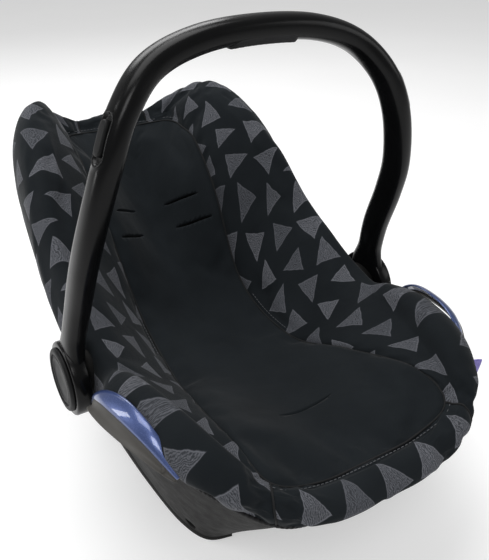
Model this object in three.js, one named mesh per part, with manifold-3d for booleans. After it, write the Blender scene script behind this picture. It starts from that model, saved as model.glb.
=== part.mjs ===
// Infant car seat: a moulded shell with a foam liner, a padded fabric cover and a swinging carry handle.
// Millimetres, +Z up, foot end towards -Y, head end towards +Y. The origin is on the floor, under the
// middle of the seat. Shapes are drawn from the handle pivot axis (y = 0) and shifted as a whole.
import * as THREE from 'three';
import { mergeVertices } from 'three/addons/utils/BufferGeometryUtils.js';
import Module from 'manifold-3d';

const wasm = await Module();
wasm.setup();

// ---- driving dimensions ------------------------------------------------------------------------
const ORIGIN_SHIFT_Y = -52.5;
const GAP = 0.3;               // clearance between parts that touch
const COVER = 4;               // padded fabric
const WALL = 4;                // moulded shell
const SKIRT_DEPTH = 5.6;       // outer shell face below the outside of the cover
const LINER_MAX = 14;          // foam between cover and shell
const PIVOT_Z = 209;
const HUB_INNER_X = 199;
const HUB_OUTER_X = 217;
const HUB_RADIUS = 42;
const BOLT_RADIUS = 6;
const BUTTON_Z = 482;
const BUTTON_SIZE = [33, 14];  // along the handle leg, across it
const BUTTON_PROUD = 1.5;
const BUTTON_TRAVEL = 4;

// Five guide curves run along the right half of the seat, from the middle of the head end to the
// middle of the foot end. Each has one point per rib.
const SPINE = [
  [0, 330, 342], [0, 316, 327], [0, 300, 310], [0, 280, 289], [0, 256, 265], [0, 205, 218], [0, 120, 164],
  [0, 25, 145], [0, -70, 152], [0, -165, 173], [0, -207, 180.5], [0, -224, 183], [0, -230, 184],
];
const SEAM = [
  [0, 350, 364], [52, 346, 367], [78, 328, 371], [84, 298, 368], [86, 258, 355], [84, 200, 300],
  [78, 115, 190], [85, 5, 160], [102, -90, 188], [115, -190, 217], [108, -243, 208], [60, -251, 191],
  [0, -250, 186],
];
const CREST = [
  [0, 366, 377], [52, 364, 380], [90, 347, 401], [119, 303, 427], [142, 252, 418], [162, 170, 366],
  [178, 95, 294], [184, -20, 238], [177, -115, 238], [149, -214, 230], [117, -259, 212], [64, -272, 194],
  [0, -272, 187],
];
const HEM = [
  [0, 388, 340], [58, 385, 338], [100, 373, 328], [138, 345, 312], [161, 300, 290], [175, 200, 245],
  [183, 112, 215], [190, -20, 196], [190, -115, 200], [161, -210, 196], [118, -266, 180], [64, -275, 167],
  [0, -274, 160],
];
const KEEL = [
  [0, 225, 52], [55, 222, 48], [95, 205, 36], [118, 182, 24], [128, 160, 10], [133, 130, 0], [134, 70, 0],
  [132, 0, 0], [126, -70, 0], [112, -114, 3], [86, -134, 12], [48, -143, 18], [0, -144, 20],
];
// The padded rim of each rib: half width, drop on the inside, drop on the outside.
const ROLL = [
  [12, 5, 14], [12, 8, 16], [14, 13, 18], [16, 16, 20], [17, 17, 20], [18, 17, 20], [18, 17, 20],
  [17, 16, 20], [16, 15, 20], [16, 13, 18], [11, 2, 14], [12, -1, 13], [12, -2, 13],
];
const RIB_STEPS = 24;          // ribs between the head end and the foot end
// Where a rib is sampled: 0 spine, 1 seam, 2 inside of the rim, 3 crest, 4 outside, 5 hem, 6 keel.
const ROWS = [0, 0.5, 1, 1.5, 2, 2.5, 3, 3.5, 4, 4.5, 5, 5.5, 6];
const ROW = { spine: 0, seam: 2, inside: 4, outside: 8, hem: 10, keel: 12 };
const HEAD_RIB = 2;            // the head edge band ends here
const FOOT_RIB = 20;           // the foot band starts here

// Centre line of the right half of the carry handle, from the pivot to the middle of the grip.
const HANDLE_LINE = [
  [208, 0, PIVOT_Z], [204, -4, 250], [197, -18, 302], [192, -40, 357], [184, -56, 404], [167, -65, 462],
  [147, -61, 505], [114, -51, 538], [64, -49, 556], [0, -49, 561],
];
const HANDLE_WIDTH = 34;
const HANDLE_THICKNESS = 25;
const HANDLE_NECK = { thickness: 20, top: 330 };   // thinner below this height, to fit the hub

// ---- small helpers -----------------------------------------------------------------------------
const vec = ([x, y, z]) => new THREE.Vector3(x, y, z);
const guide = (points) => new THREE.CatmullRomCurve3(points.map(vec), false, 'catmullrom', 0.5);
const range = (from, to) => Array.from({ length: to - from + 1 }, (_, i) => from + i);

function toSolid(geometry) {
  const bare = geometry.index ? geometry.toNonIndexed() : geometry.clone();
  bare.deleteAttribute('normal');
  bare.deleteAttribute('uv');
  const merged = mergeVertices(bare, 1e-4);
  const corners = merged.index.array;
  const kept = [];
  for (let i = 0; i < corners.length; i += 3) {
    const [a, b, c] = corners.slice(i, i + 3);
    if (a !== b && b !== c && c !== a) kept.push(a, b, c);
  }
  const mesh = new wasm.Mesh({
    numProp: 3,
    vertProperties: new Float32Array(merged.attributes.position.array),
    triVerts: new Uint32Array(kept),
  });
  return new wasm.Manifold(mesh);
}

function toGeometry(solid) {
  const mesh = solid.getMesh();
  const geometry = new THREE.BufferGeometry();
  geometry.setAttribute('position', new THREE.BufferAttribute(new Float32Array(mesh.vertProperties), 3));
  geometry.setIndex(new THREE.BufferAttribute(new Uint32Array(mesh.triVerts), 1));
  geometry.computeVertexNormals();
  return geometry;
}

function box(x0, x1, y0, y1, z0, z1) {
  const geometry = new THREE.BoxGeometry(x1 - x0, y1 - y0, z1 - z0);
  geometry.translate((x0 + x1) / 2, (y0 + y1) / 2, (z0 + z1) / 2);
  return toSolid(geometry);
}

// A cylinder about a line along X.
function rod(radius, x0, x1, y, z, sides = 32) {
  const geometry = new THREE.CylinderGeometry(radius, radius, x1 - x0, sides);
  geometry.rotateZ(Math.PI / 2);
  geometry.translate((x0 + x1) / 2, y, z);
  return toSolid(geometry);
}

// Rings of points with equal counts, joined into one closed solid with flat or fan ends.
function skin(rings) {
  const count = rings[0].length;
  const points = rings.flat();
  const faces = [];
  for (let r = 0; r + 1 < rings.length; r += 1) {
    for (let i = 0; i < count; i += 1) {
      const a = r * count + i;
      const b = r * count + (i + 1) % count;
      faces.push(a, b, b + count, a, b + count, a + count);
    }
  }
  const last = (rings.length - 1) * count;
  for (let i = 1; i + 1 < count; i += 1) {
    faces.push(0, i + 1, i, last, last + i, last + i + 1);
  }
  return closedSolid(points, faces);
}

// A solid from points and triangles, turned so that its faces point out.
function closedSolid(points, faces) {
  const at = (i) => points[i];
  let volume = 0;
  for (let i = 0; i < faces.length; i += 3) {
    volume += at(faces[i]).dot(at(faces[i + 1]).clone().cross(at(faces[i + 2])));
  }
  const index = volume > 0 ? faces : faces.slice().reverse();
  const geometry = new THREE.BufferGeometry().setFromPoints(points);
  geometry.setIndex(index);
  return toSolid(geometry);
}

const mirrored = (solid) => solid.mirror([1, 0, 0]);

// ---- the seat's outer surface ------------------------------------------------------------------
const curves = {
  spine: guide(SPINE), seam: guide(SEAM), crest: guide(CREST), hem: guide(HEM), keel: guide(KEEL),
  roll: guide(ROLL),
};

function rib(step) {
  const at = (name) => curves[name].getPoint(step / RIB_STEPS);
  const [spine, seam, crest, hem, keel] = ['spine', 'seam', 'crest', 'hem', 'keel'].map(at);
  const { x: halfWidth, y: dropInside, z: dropOutside } = at('roll');
  const base = seam.clone().lerp(hem, 0.8);
  const up = crest.clone().sub(base).normalize();
  const across = hem.clone().sub(seam);
  across.addScaledVector(up, -across.dot(up)).normalize();
  const inside = crest.clone().addScaledVector(across, -halfWidth).addScaledVector(up, -dropInside);
  const outside = crest.clone().addScaledVector(across, halfWidth).addScaledVector(up, -dropOutside);
  const farSeam = new THREE.Vector3(-seam.x, seam.y, seam.z);
  const points = [farSeam, spine, seam, inside, crest, outside, hem, keel];
  const curve = new THREE.CatmullRomCurve3(points, false, 'centripetal');
  return ROWS.map((row) => curve.getPoint((1 + row) / (points.length - 1)));
}

const envelope = range(0, RIB_STEPS).map(rib);
for (const point of [...envelope[0], ...envelope[RIB_STEPS], ...envelope.map((points) => points[0])]) {
  point.x = 0;
}
const normals = envelopeNormals();

// Area-weighted normals of the right half, with the middle plane's own kept in that plane.
function envelopeNormals() {
  const sums = envelope.map((points) => points.map(() => new THREE.Vector3()));
  for (let i = 0; i < RIB_STEPS; i += 1) {
    for (let j = 0; j + 1 < ROWS.length; j += 1) {
      const diagonal = envelope[i + 1][j + 1].clone().sub(envelope[i][j]);
      const other = envelope[i][j + 1].clone().sub(envelope[i + 1][j]);
      const face = diagonal.cross(other);
      for (const [a, b] of [[i, j], [i + 1, j], [i, j + 1], [i + 1, j + 1]]) sums[a][b].add(face);
    }
  }
  sums.forEach((row, i) => row.forEach((sum, j) => {
    if (i === 0 || i === RIB_STEPS || j === 0) sum.x = 0;
    sum.normalize();
  }));
  return sums;
}

const sunk = (i, j, depth) => envelope[i][j].clone().addScaledVector(normals[i][j], -depth);

// A surface under the envelope: one depth inside the rim, one outside it, straight across under it.
function under(depthInside, depthOutside, rowIn = ROW.inside, rowOut = ROW.outside) {
  return (i, j) => {
    const inner = (row) => (typeof depthInside === 'function' ? depthInside(i, row) : depthInside);
    if (j <= rowIn) return sunk(i, j, inner(j));
    if (j >= rowOut) return sunk(i, j, depthOutside);
    const share = (j - rowIn) / (rowOut - rowIn);
    return sunk(i, rowIn, inner(rowIn)).lerp(sunk(i, rowOut, depthOutside), share);
  };
}

const rightRibs = (from, to) => range(from, to).map((i) => ({ i, side: 1 }));
const leftRibs = (from, to) => rightRibs(to, from).reverse().map(({ i }) => ({ i, side: -1 }));
const ALL_RIBS = [...rightRibs(0, RIB_STEPS), ...leftRibs(RIB_STEPS - 1, 1)];

// The solid between two surfaces over some ribs and rows. A loop of ribs has no ends, and rows that
// start at the spine have no edge there, because the two halves meet.
function layer(ribs, rows, outer, inner, isLoop) {
  const place = (surface, { i, side }, j) => {
    const point = surface(i, j);
    point.x *= side;
    return point;
  };
  const grid = (surface) => ribs.map((at) => rows.map((j) => place(surface, at, j)));
  const sheets = [grid(outer), grid(inner)];
  for (const sheet of sheets) trimEdges(sheet, isLoop, rows[0] === ROW.spine);
  const points = sheets.flat(2);
  const id = (s, c, r) => (s * ribs.length + (c % ribs.length)) * rows.length + r;
  const faces = [];
  // Quads on the left split along the other diagonal, so that the two sides mirror each other.
  const quad = (c, [p, q, r, s]) => {
    const isLeft = ribs[c].side < 0 || ribs[(c + 1) % ribs.length].side < 0;
    if (isLeft) faces.push(p, q, s, q, r, s);
    else faces.push(p, q, r, p, r, s);
  };
  const columns = isLoop ? ribs.length : ribs.length - 1;
  const lastRow = rows.length - 1;
  for (let c = 0; c < columns; c += 1) {
    for (let r = 0; r < lastRow; r += 1) {
      quad(c, [id(0, c, r), id(0, c + 1, r), id(0, c + 1, r + 1), id(0, c, r + 1)]);
      quad(c, [id(1, c, r), id(1, c, r + 1), id(1, c + 1, r + 1), id(1, c + 1, r)]);
    }
    quad(c, [id(0, c, lastRow), id(0, c + 1, lastRow), id(1, c + 1, lastRow), id(1, c, lastRow)]);
    if (rows[0] !== ROW.spine) quad(c, [id(1, c, 0), id(1, c + 1, 0), id(0, c + 1, 0), id(0, c, 0)]);
  }
  if (!isLoop) {
    for (let r = 0; r < lastRow; r += 1) {
      quad(0, [id(0, 0, r), id(0, 0, r + 1), id(1, 0, r + 1), id(1, 0, r)]);
      quad(columns, [id(0, columns, r), id(1, columns, r), id(1, columns, r + 1), id(0, columns, r + 1)]);
    }
  }
  return closedSolid(points, faces);
}

const EDGE_TRIM = 0.4;

// Draws the free edges of a sheet back a little, so that neighbours don't touch.
function trimEdges(sheet, isLoop, startsAtSpine) {
  const pull = (edge, next) => edge.forEach((point, k) => {
    point.add(next[k].clone().sub(point).setLength(EDGE_TRIM));
  });
  const row = (r) => sheet.map((column) => column.at(r));
  if (!isLoop) {
    pull(sheet[0], sheet[1]);
    pull(sheet.at(-1), sheet.at(-2));
  }
  if (!startsAtSpine) pull(row(0), row(1));
  pull(row(-1), row(-2));
}

// ---- seat layers -------------------------------------------------------------------------------
const surface = (i, j) => envelope[i][j].clone();
const lining = under(COVER, COVER);
const RIM_MARGIN = 20;
// How deep the foam reaches: its full thickness at the spine, and less where the rim is narrow,
// so that the foam and the shell wall on the two sides of the rim stay apart.
const linerDepth = (i, j) => {
  const rimWidth = 2 * curves.roll.getPoint(i / RIB_STEPS).x;
  const full = COVER + LINER_MAX;
  const atRim = Math.min(full, 1.1 * rimWidth - RIM_MARGIN);
  return THREE.MathUtils.lerp(full, atRim, Math.min(1, j / ROW.inside));
};

const coverPiece = (ribs, rows, isLoop = false) => layer(ribs, rows, surface, lining, isLoop);
// The largest body of a solid, without the slivers that a cut can leave.
const largest = (solid) => solid.decompose().sort((a, b) => b.volume() - a.volume())[0];

// The foam, cut back by a slightly thicker cover and shell so that they never touch.
const linerSolid = () => largest(layer(
  ALL_RIBS, range(ROW.spine, ROW.outside - 1),
  under(COVER + GAP, COVER + GAP), under((i, j) => linerDepth(i, j) - 4 * GAP, COVER + 1.3), true,
).subtract(layer(
  ALL_RIBS, range(ROW.spine, ROW.hem), under(-1, -1), under(COVER + GAP, COVER + GAP), true,
)).subtract(layer(
  ALL_RIBS, range(ROW.spine, ROW.keel), under((i, j) => linerDepth(i, j) - GAP, SKIRT_DEPTH - GAP),
  under((i, j) => linerDepth(i, j) + WALL, SKIRT_DEPTH + WALL, ROW.inside - 1, ROW.outside + 1), true,
)));
const shellWall = () => layer(
  ALL_RIBS, range(ROW.spine, ROW.keel),
  under(linerDepth, SKIRT_DEPTH),
  under((i, j) => linerDepth(i, j) + WALL, SKIRT_DEPTH + WALL, ROW.inside - 1, ROW.outside + 1), true,
);

// ---- shell -------------------------------------------------------------------------------------
const BOSS_RADIUS = 28;
const BOSS_FACE_X = HUB_INNER_X - 0.4;
const RAIL_WIDTH = 20;
const RAIL_HEIGHT = 14;
const DOCK_BARS = [{ name: 'docking_bar_front', y: -100 }, { name: 'docking_bar_rear', y: 112 }];
const DOCK_BAR_Z = 27;
const DOCK_BAR_RADIUS = 5;
const DOCK_BAR_REACH = 117;

// The rail that the right side stands on, just inside the keel.
function railSolid() {
  const rings = range(8, 20).map((i) => {
    const place = curves.keel.getPoint(i / RIB_STEPS);
    const along = curves.keel.getTangent(i / RIB_STEPS);
    const inward = new THREE.Vector3(along.y, -along.x, 0).normalize();
    if (inward.x > 0) inward.negate();
    const corner = (reach, height) => place.clone().addScaledVector(inward, reach).setZ(place.z + height);
    return [corner(3, 0), corner(3, RAIL_HEIGHT), corner(RAIL_WIDTH, RAIL_HEIGHT), corner(RAIL_WIDTH, 0)];
  });
  return skin(rings);
}

function shellSolid() {
  const floorCut = box(-300, 300, -400, 500, -50, 0);
  const rail = railSolid();
  const boss = rod(BOSS_RADIUS, 180, BOSS_FACE_X, 0, PIVOT_Z, 36);
  const bore = rod(BOLT_RADIUS + GAP, 178, 230, 0, PIVOT_Z, 24);
  let shell = shellWall();
  for (const piece of [rail, mirrored(rail), boss, mirrored(boss)]) shell = shell.add(piece);
  for (const cut of [floorCut, bore, mirrored(bore)]) shell = shell.subtract(cut);
  for (const { y } of DOCK_BARS) {
    const hole = rod(DOCK_BAR_RADIUS + GAP, -160, 160, y, DOCK_BAR_Z, 20);
    shell = shell.subtract(hole);
  }
  return shell;
}

const dockingBar = (y) => rod(DOCK_BAR_RADIUS, -DOCK_BAR_REACH, DOCK_BAR_REACH, y, DOCK_BAR_Z, 20);

// ---- carry handle ------------------------------------------------------------------------------
const HANDLE_SIDES = 12;
const HANDLE_STEPS = 46;
const SUPERELLIPSE = 2.4;
const RECESS_RADIUS = 30;
const RECESS_X = 206;
const PAWL = { half: 5, from: 24.5, to: 38, play: 0.5 };
const BOLT_HEAD = { radius: 12, x: 211.5, top: 216.5 };
const GRIP = { half: 0.032, width: 30, sunk: 4, proud: 3 };
const GRIP_STEPS = 8;

const leftHalf = HANDLE_LINE.slice(0, -1).reverse().map(([x, y, z]) => [-x, y, z]);
const handleLine = guide([...HANDLE_LINE, ...leftHalf]);

// The handle's own directions at a place along it: along, fore and aft, and out from the opening.
function handleFrame(t) {
  const place = handleLine.getPoint(t);
  const along = handleLine.getTangent(t);
  const aft = new THREE.Vector3(0, 1, 0).addScaledVector(along, -along.y).normalize();
  const out = aft.clone().cross(along).normalize();
  if (out.dot(new THREE.Vector3(place.x, 0, place.z - PIVOT_Z)) < 0) out.negate();
  return { place, along, aft, out };
}

function sweep(from, to, steps, section) {
  return skin(range(0, steps).map((k) => {
    const { place, aft, out } = handleFrame(from + (to - from) * k / steps);
    return section(place.z).map(([a, o]) => (
      place.clone().addScaledVector(aft, a).addScaledVector(out, o)
    ));
  }));
}

function barSection(height) {
  const share = THREE.MathUtils.smoothstep(height, PIVOT_Z, HANDLE_NECK.top);
  const thickness = THREE.MathUtils.lerp(HANDLE_NECK.thickness, HANDLE_THICKNESS, share);
  const round = (value) => Math.sign(value) * Math.abs(value) ** (2 / SUPERELLIPSE);
  return range(0, HANDLE_SIDES - 1).map((k) => {
    const angle = 2 * Math.PI * (k + 0.5) / HANDLE_SIDES;
    return [round(Math.cos(angle)) * HANDLE_WIDTH / 2, round(Math.sin(angle)) * thickness / 2];
  });
}

function gripSection(extra) {
  const half = GRIP.width / 2 + extra;
  const top = -HANDLE_THICKNESS / 2 + GRIP.sunk + extra;
  const bottom = -HANDLE_THICKNESS / 2 - GRIP.proud;
  return [
    [-half, top], [half, top], [half, bottom + 3], [half - 4, bottom], [4 - half, bottom],
    [-half, bottom + 3],
  ];
}

const gripSolid = () => sweep(
  0.5 - GRIP.half, 0.5 + GRIP.half, GRIP_STEPS, () => gripSection(0),
);
const gripPocket = () => sweep(
  0.5 - GRIP.half - 0.0008, 0.5 + GRIP.half + 0.0008, GRIP_STEPS, () => gripSection(GAP),
);

const hubSolid = () => rod(HUB_RADIUS, HUB_INNER_X, HUB_OUTER_X, 0, PIVOT_Z, 48);

// The hub's inside: a round recess for the lock ring, a slot for the pawl, and the bolt's bore and
// counterbore. Each cut starts or ends well clear of the hub's faces.
function hubCuts() {
  const inside = HUB_INNER_X - 9;
  const outside = HUB_OUTER_X + 9;
  const side = PAWL.half + PAWL.play;
  return [
    rod(RECESS_RADIUS, inside, RECESS_X, 0, PIVOT_Z, 40),
    box(inside, RECESS_X, -side, side, PIVOT_Z + 20, PIVOT_Z + PAWL.to + BUTTON_TRAVEL + 1),
    rod(BOLT_RADIUS + GAP, inside, outside, 0, PIVOT_Z, 24),
    rod(BOLT_HEAD.radius + GAP, BOLT_HEAD.x - GAP, outside, 0, PIVOT_Z, 24),
  ];
}

// Where a height is met on the right half of the handle.
function handleAt(z) {
  let t = 0;
  while (handleLine.getPoint(t).z < z) t += 0.0005;
  return handleFrame(t);
}

// A long pill, standing out of the handle's outer face, from one depth to another.
function pill(length, width, from, to) {
  const { place, along, aft, out } = handleAt(BUTTON_Z);
  const straight = (length - width) / 2;
  const outline = range(0, 15).map((k) => {
    const angle = 2 * Math.PI * (k + 0.5) / 16;
    const shift = Math.sign(Math.cos(angle)) * straight;
    return [Math.cos(angle) * width / 2 + shift, Math.sin(angle) * width / 2];
  });
  return skin([from, to].map((depth) => outline.map(([a, b]) => place.clone()
    .addScaledVector(out, HANDLE_THICKNESS / 2 + depth)
    .addScaledVector(along, a)
    .addScaledVector(aft, b))));
}

const [BUTTON_LENGTH, BUTTON_WIDTH] = BUTTON_SIZE;
const BUTTON_DEPTH = 6.5;      // below the handle's outer face
const buttonSolid = () => pill(BUTTON_LENGTH, BUTTON_WIDTH, -BUTTON_DEPTH, BUTTON_PROUD);
const buttonPocket = () => pill(
  BUTTON_LENGTH + 2 * GAP, BUTTON_WIDTH + 2 * GAP, -BUTTON_DEPTH - BUTTON_TRAVEL - 1, 9,
);

function handleSolid() {
  const cheek = box(HUB_INNER_X - 30, HUB_INNER_X, -60, 60, PIVOT_Z - 60, PIVOT_Z + 30);
  let handle = sweep(0, 1, HANDLE_STEPS, barSection).add(hubSolid()).add(mirrored(hubSolid()));
  for (const cut of [...hubCuts(), buttonPocket(), cheek]) {
    handle = handle.subtract(cut).subtract(mirrored(cut));
  }
  return handle.subtract(gripPocket());
}

function lathedAlongX(profile, segments) {
  const geometry = new THREE.LatheGeometry(profile.map(([r, x]) => new THREE.Vector2(r, x)), segments);
  geometry.rotateZ(-Math.PI / 2);
  geometry.translate(0, 0, PIVOT_Z);
  return toSolid(geometry);
}

function hubCap() {
  const face = HUB_OUTER_X + GAP;
  return lathedAlongX([[0, face], [36, face], [36, face + 2], [33, face + 5], [0, face + 5]], 40);
}

const pivotBolt = () => lathedAlongX([
  [0, 186], [BOLT_RADIUS, 186], [BOLT_RADIUS, BOLT_HEAD.x], [BOLT_HEAD.radius, BOLT_HEAD.x],
  [BOLT_HEAD.radius, BOLT_HEAD.top], [0, BOLT_HEAD.top],
], 24);

const LOCK_RING = { radius: 24, hole: 8, notch: 3, teeth: 12, x: HUB_INNER_X, thick: 6 };

// A ring with square notches, screwed to the shell boss, which the pawl drops into.
function lockRing() {
  const outline = new THREE.Shape();
  range(0, LOCK_RING.teeth * 4 - 1).forEach((k) => {
    const angle = 2 * Math.PI * (k + 0.5) / (LOCK_RING.teeth * 4);
    const radius = LOCK_RING.radius - (k % 4 < 2 ? LOCK_RING.notch : 0);
    const [a, b] = [radius * Math.cos(angle), radius * Math.sin(angle)];
    if (k === 0) outline.moveTo(a, b);
    else outline.lineTo(a, b);
  });
  outline.closePath();
  const hole = new THREE.Path();
  hole.absarc(0, 0, LOCK_RING.hole, 0, 2 * Math.PI, true);
  outline.holes.push(hole);
  const settings = { depth: LOCK_RING.thick, bevelEnabled: false, curveSegments: 8 };
  const geometry = new THREE.ExtrudeGeometry(outline, settings);
  geometry.rotateY(Math.PI / 2);
  geometry.translate(LOCK_RING.x, 0, PIVOT_Z);
  return toSolid(geometry);
}

const lockPawl = () => box(
  HUB_INNER_X + PAWL.play, RECESS_X - PAWL.play, -PAWL.half, PAWL.half,
  PIVOT_Z + PAWL.from, PIVOT_Z + PAWL.to,
);

// ---- belt guides and hook ----------------------------------------------------------------------
const GUIDE_LINE = [[204, -50, 206], [208, -82, 235], [205, -120, 244], [196, -166, 240], [181, -203, 215]];
const GUIDE_WIDTH = 30;
const GUIDE_THICKNESS = 7;
// Two slanting arms carry each guide: where each leaves the skirt and where it meets the blade.
const GUIDE_ARMS = [
  { y: -76, from: [185, 206], to: [210, 223] }, { y: -188, from: [167.5, 207], to: [191, 221] },
];
const ARM_HALF = 4;

function guideBlade() {
  const line = guide(GUIDE_LINE);
  const steps = 12;
  return skin(range(0, steps).map((k) => {
    const t = k / steps;
    const place = line.getPoint(t);
    const along = line.getTangent(t);
    const outDown = new THREE.Vector3(0.72, 0, -0.69);
    outDown.addScaledVector(along, -outDown.dot(along)).normalize();
    const up = along.clone().cross(outDown).normalize();
    const swell = Math.sin(Math.PI * (0.06 + 0.88 * t)) ** 0.6;
    return range(0, 7).map((n) => {
      const angle = 2 * Math.PI * n / 8;
      return place.clone()
        .addScaledVector(outDown, swell * GUIDE_WIDTH * (Math.cos(angle) / 2 + 0.1))
        .addScaledVector(up, Math.sqrt(swell) * GUIDE_THICKNESS * Math.sin(angle) / 2);
    });
  }));
}

const guideArms = (extra) => GUIDE_ARMS.map(({ y, from, to }) => {
  const half = ARM_HALF + extra;
  return skin([from, to].map(([x, z]) => [[-1, -1], [1, -1], [1, 1], [-1, 1]].map(
    ([a, b]) => new THREE.Vector3(x, y + a * half, z + b * half),
  )));
});

function beltGuide(keepOut) {
  const [rear, front] = guideArms(0);
  const hubSweep = rod(HUB_RADIUS + 1, 180, 240, 0, PIVOT_Z, 48);
  return guideBlade().subtract(hubSweep).add(rear).add(front).subtract(keepOut);
}

const BELT_HOOK = { half: 42, wall: 4, groove: 11, y: 352, z: 276 };

// A wide J-shaped hook on the back of the shell, which holds the diagonal belt.
function rearBeltHook(keepOut) {
  const { half, wall, groove } = BELT_HOOK;
  const reach = groove + 2 * wall;
  const outline = [
    [0, -22], [reach, -22], [reach, 16], [reach - wall, 18], [reach - wall, -18], [wall, -18], [wall, 26],
    [0, 26],
  ];
  const shape = new THREE.Shape(outline.map(([a, b]) => new THREE.Vector2(a, b)));
  const geometry = new THREE.ExtrudeGeometry(shape, { depth: 2 * half, bevelEnabled: false });
  geometry.translate(0, 0, -half);
  const slope = Math.atan2(HEM[0][1] - KEEL[0][1], HEM[0][2] - KEEL[0][2]);
  // The outline's first axis points away from the shell, its second up the shell.
  const away = new THREE.Vector3(0, Math.cos(slope), -Math.sin(slope));
  const upShell = new THREE.Vector3(0, Math.sin(slope), Math.cos(slope));
  const across = away.clone().cross(upShell);
  const turn = new THREE.Matrix4().makeBasis(away, upShell, across);
  geometry.applyMatrix4(turn);
  geometry.translate(0, BELT_HOOK.y, BELT_HOOK.z);
  return toSolid(geometry).subtract(keepOut);
}

// ---- harness hardware --------------------------------------------------------------------------
// Two slits a side for the shoulder straps, each rising outward from [x, z] to [x, z].
const SHOULDER_SLITS = [[[28, 269], [66, 292]], [[30, 244], [72, 267]]];
const SLIT_HEIGHT = 6;
const CROTCH_SLIT = { half: 38, y: -149, width: 7 };

function slitCuts() {
  const ring = ([x, z]) => [[150, -1], [320, -1], [320, 1], [150, 1]].map(
    ([y, side]) => new THREE.Vector3(x, y, z + side * SLIT_HEIGHT / 2),
  );
  const shoulder = SHOULDER_SLITS.flatMap((ends) => {
    const cut = skin(ends.map(ring));
    return [cut, mirrored(cut)];
  });
  const { half, y, width } = CROTCH_SLIT;
  return [...shoulder, box(-half, half, y - width / 2, y + width / 2, 120, 230)];
}

// A flat plate across the middle, standing at a depth under the spine and following its slope.
function plateUnderSpine(t, depth, size, hole) {
  const place = curves.spine.getPoint(t);
  const along = curves.spine.getTangent(t);
  const [width, length, thickness] = size;
  const shape = new THREE.Shape([[-1, -1], [1, -1], [1, 1], [-1, 1]].map(
    ([a, b]) => new THREE.Vector2(a * width / 2, b * length / 2),
  ));
  if (hole) {
    const [across, deep] = hole;
    shape.holes.push(new THREE.Path([[-1, -1], [-1, 1], [1, 1], [1, -1]].map(
      ([a, b]) => new THREE.Vector2(a * across / 2, b * deep / 2),
    )));
  }
  const geometry = new THREE.ExtrudeGeometry(shape, { depth: thickness, bevelEnabled: false });
  const right = new THREE.Vector3(1, 0, 0);
  const down = right.clone().cross(along).normalize();
  if (down.z > 0) down.negate();
  const forward = down.clone().cross(right);
  geometry.applyMatrix4(new THREE.Matrix4().makeBasis(right, forward, down));
  geometry.translate(0, place.y + down.y * depth, place.z + down.z * depth);
  return toSolid(geometry);
}

const YOKE = { at: 0.36, depth: 34, size: [76, 30, 3], slot: [50, 6] };
const ANCHOR = { at: 0.727, depth: 25, size: [56, 24, 2.5], slot: [34, 5] };
const ADJUSTER_AT = 0.81;

const harnessYoke = () => plateUnderSpine(YOKE.at, YOKE.depth, YOKE.size, YOKE.slot);
const crotchAnchor = () => plateUnderSpine(ANCHOR.at, ANCHOR.depth, ANCHOR.size, ANCHOR.slot);
const adjusterHousing = () => plateUnderSpine(ADJUSTER_AT, 5, [40, 36, 6.8], [22.6, 16.6]);
const adjusterButton = () => plateUnderSpine(ADJUSTER_AT, 5.4, [22, 16, 4]);
const adjusterPocket = () => plateUnderSpine(ADJUSTER_AT, 4, [40.6, 36.6, 9.2]);

// ---- stroller adapter releases -----------------------------------------------------------------
const RELEASE = { x: [HUB_INNER_X + 0.6, HUB_INNER_X + 6], y: [45, 56], z: [202, 221] };
const RELEASE_LUG = { x: [182, BOSS_FACE_X], y: [20, 60], z: [188, 224] };

const fromSpans = ({ x, y, z }, grow = 0) => box(
  x[0] - grow, x[1] + grow, y[0] - grow, y[1] + grow, z[0] - grow, z[1] + grow,
);

// ---- woven tag ---------------------------------------------------------------------------------
const TAG = { rib: 18, row: 8, proud: 10, tall: 32, thick: 1.2 };

function wovenTag() {
  const out = normals[TAG.rib][TAG.row];
  const down = envelope[TAG.rib][TAG.row + 1].clone().sub(envelope[TAG.rib][TAG.row - 1]);
  down.addScaledVector(out, -down.dot(out)).normalize();
  const thin = out.clone().cross(down);
  const geometry = new THREE.BoxGeometry(TAG.proud, TAG.tall, TAG.thick);
  geometry.translate(TAG.proud / 2 + 1.5, 0, 0);
  geometry.applyMatrix4(new THREE.Matrix4().makeBasis(out, down, thin));
  const place = envelope[TAG.rib][TAG.row];
  geometry.translate(place.x, place.y, place.z);
  return toSolid(geometry);
}

// ---- assembly ----------------------------------------------------------------------------------
const lug = fromSpans(RELEASE_LUG);
const shell = shellSolid().add(lug).add(mirrored(lug));

// What the soft layers leave room for: the pivot bosses, the lugs and the belt guides' arms.
const throughCover = [
  rod(BOSS_RADIUS + 2, 178, 240, 0, PIVOT_Z, 36), fromSpans(RELEASE_LUG, 1), ...guideArms(0.4),
].reduce((all, piece) => all.add(piece));
const bothSides = throughCover.add(mirrored(throughCover));
// The outer wall of the shell, a little enlarged, over some ribs.
const skirtBlock = (ribs) => layer(
  ribs, range(ROW.inside, ROW.keel),
  under((i, j) => linerDepth(i, j) - GAP, SKIRT_DEPTH - GAP),
  under((i, j) => linerDepth(i, j) + WALL + 4, SKIRT_DEPTH + WALL + 6, ROW.inside - 1, ROW.outside + 1),
);

const rimRows = range(ROW.seam, ROW.hem);
const rightBolster = coverPiece(rightRibs(HEAD_RIB, FOOT_RIB), rimRows).subtract(bothSides);
const footRibs = [...rightRibs(FOOT_RIB, RIB_STEPS), ...leftRibs(RIB_STEPS - 1, FOOT_RIB)];
const headRibs = [...leftRibs(HEAD_RIB, 1), ...rightRibs(0, HEAD_RIB)];
const HEM_BAND = [0.01, 0.07];  // where the elastic lies between the hem and the next row
const hemFace = (depth) => (i, j) => sunk(i, ROW.hem, depth)
  .lerp(sunk(i, ROW.hem + 1, depth), HEM_BAND[j - ROW.hem]);
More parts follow.
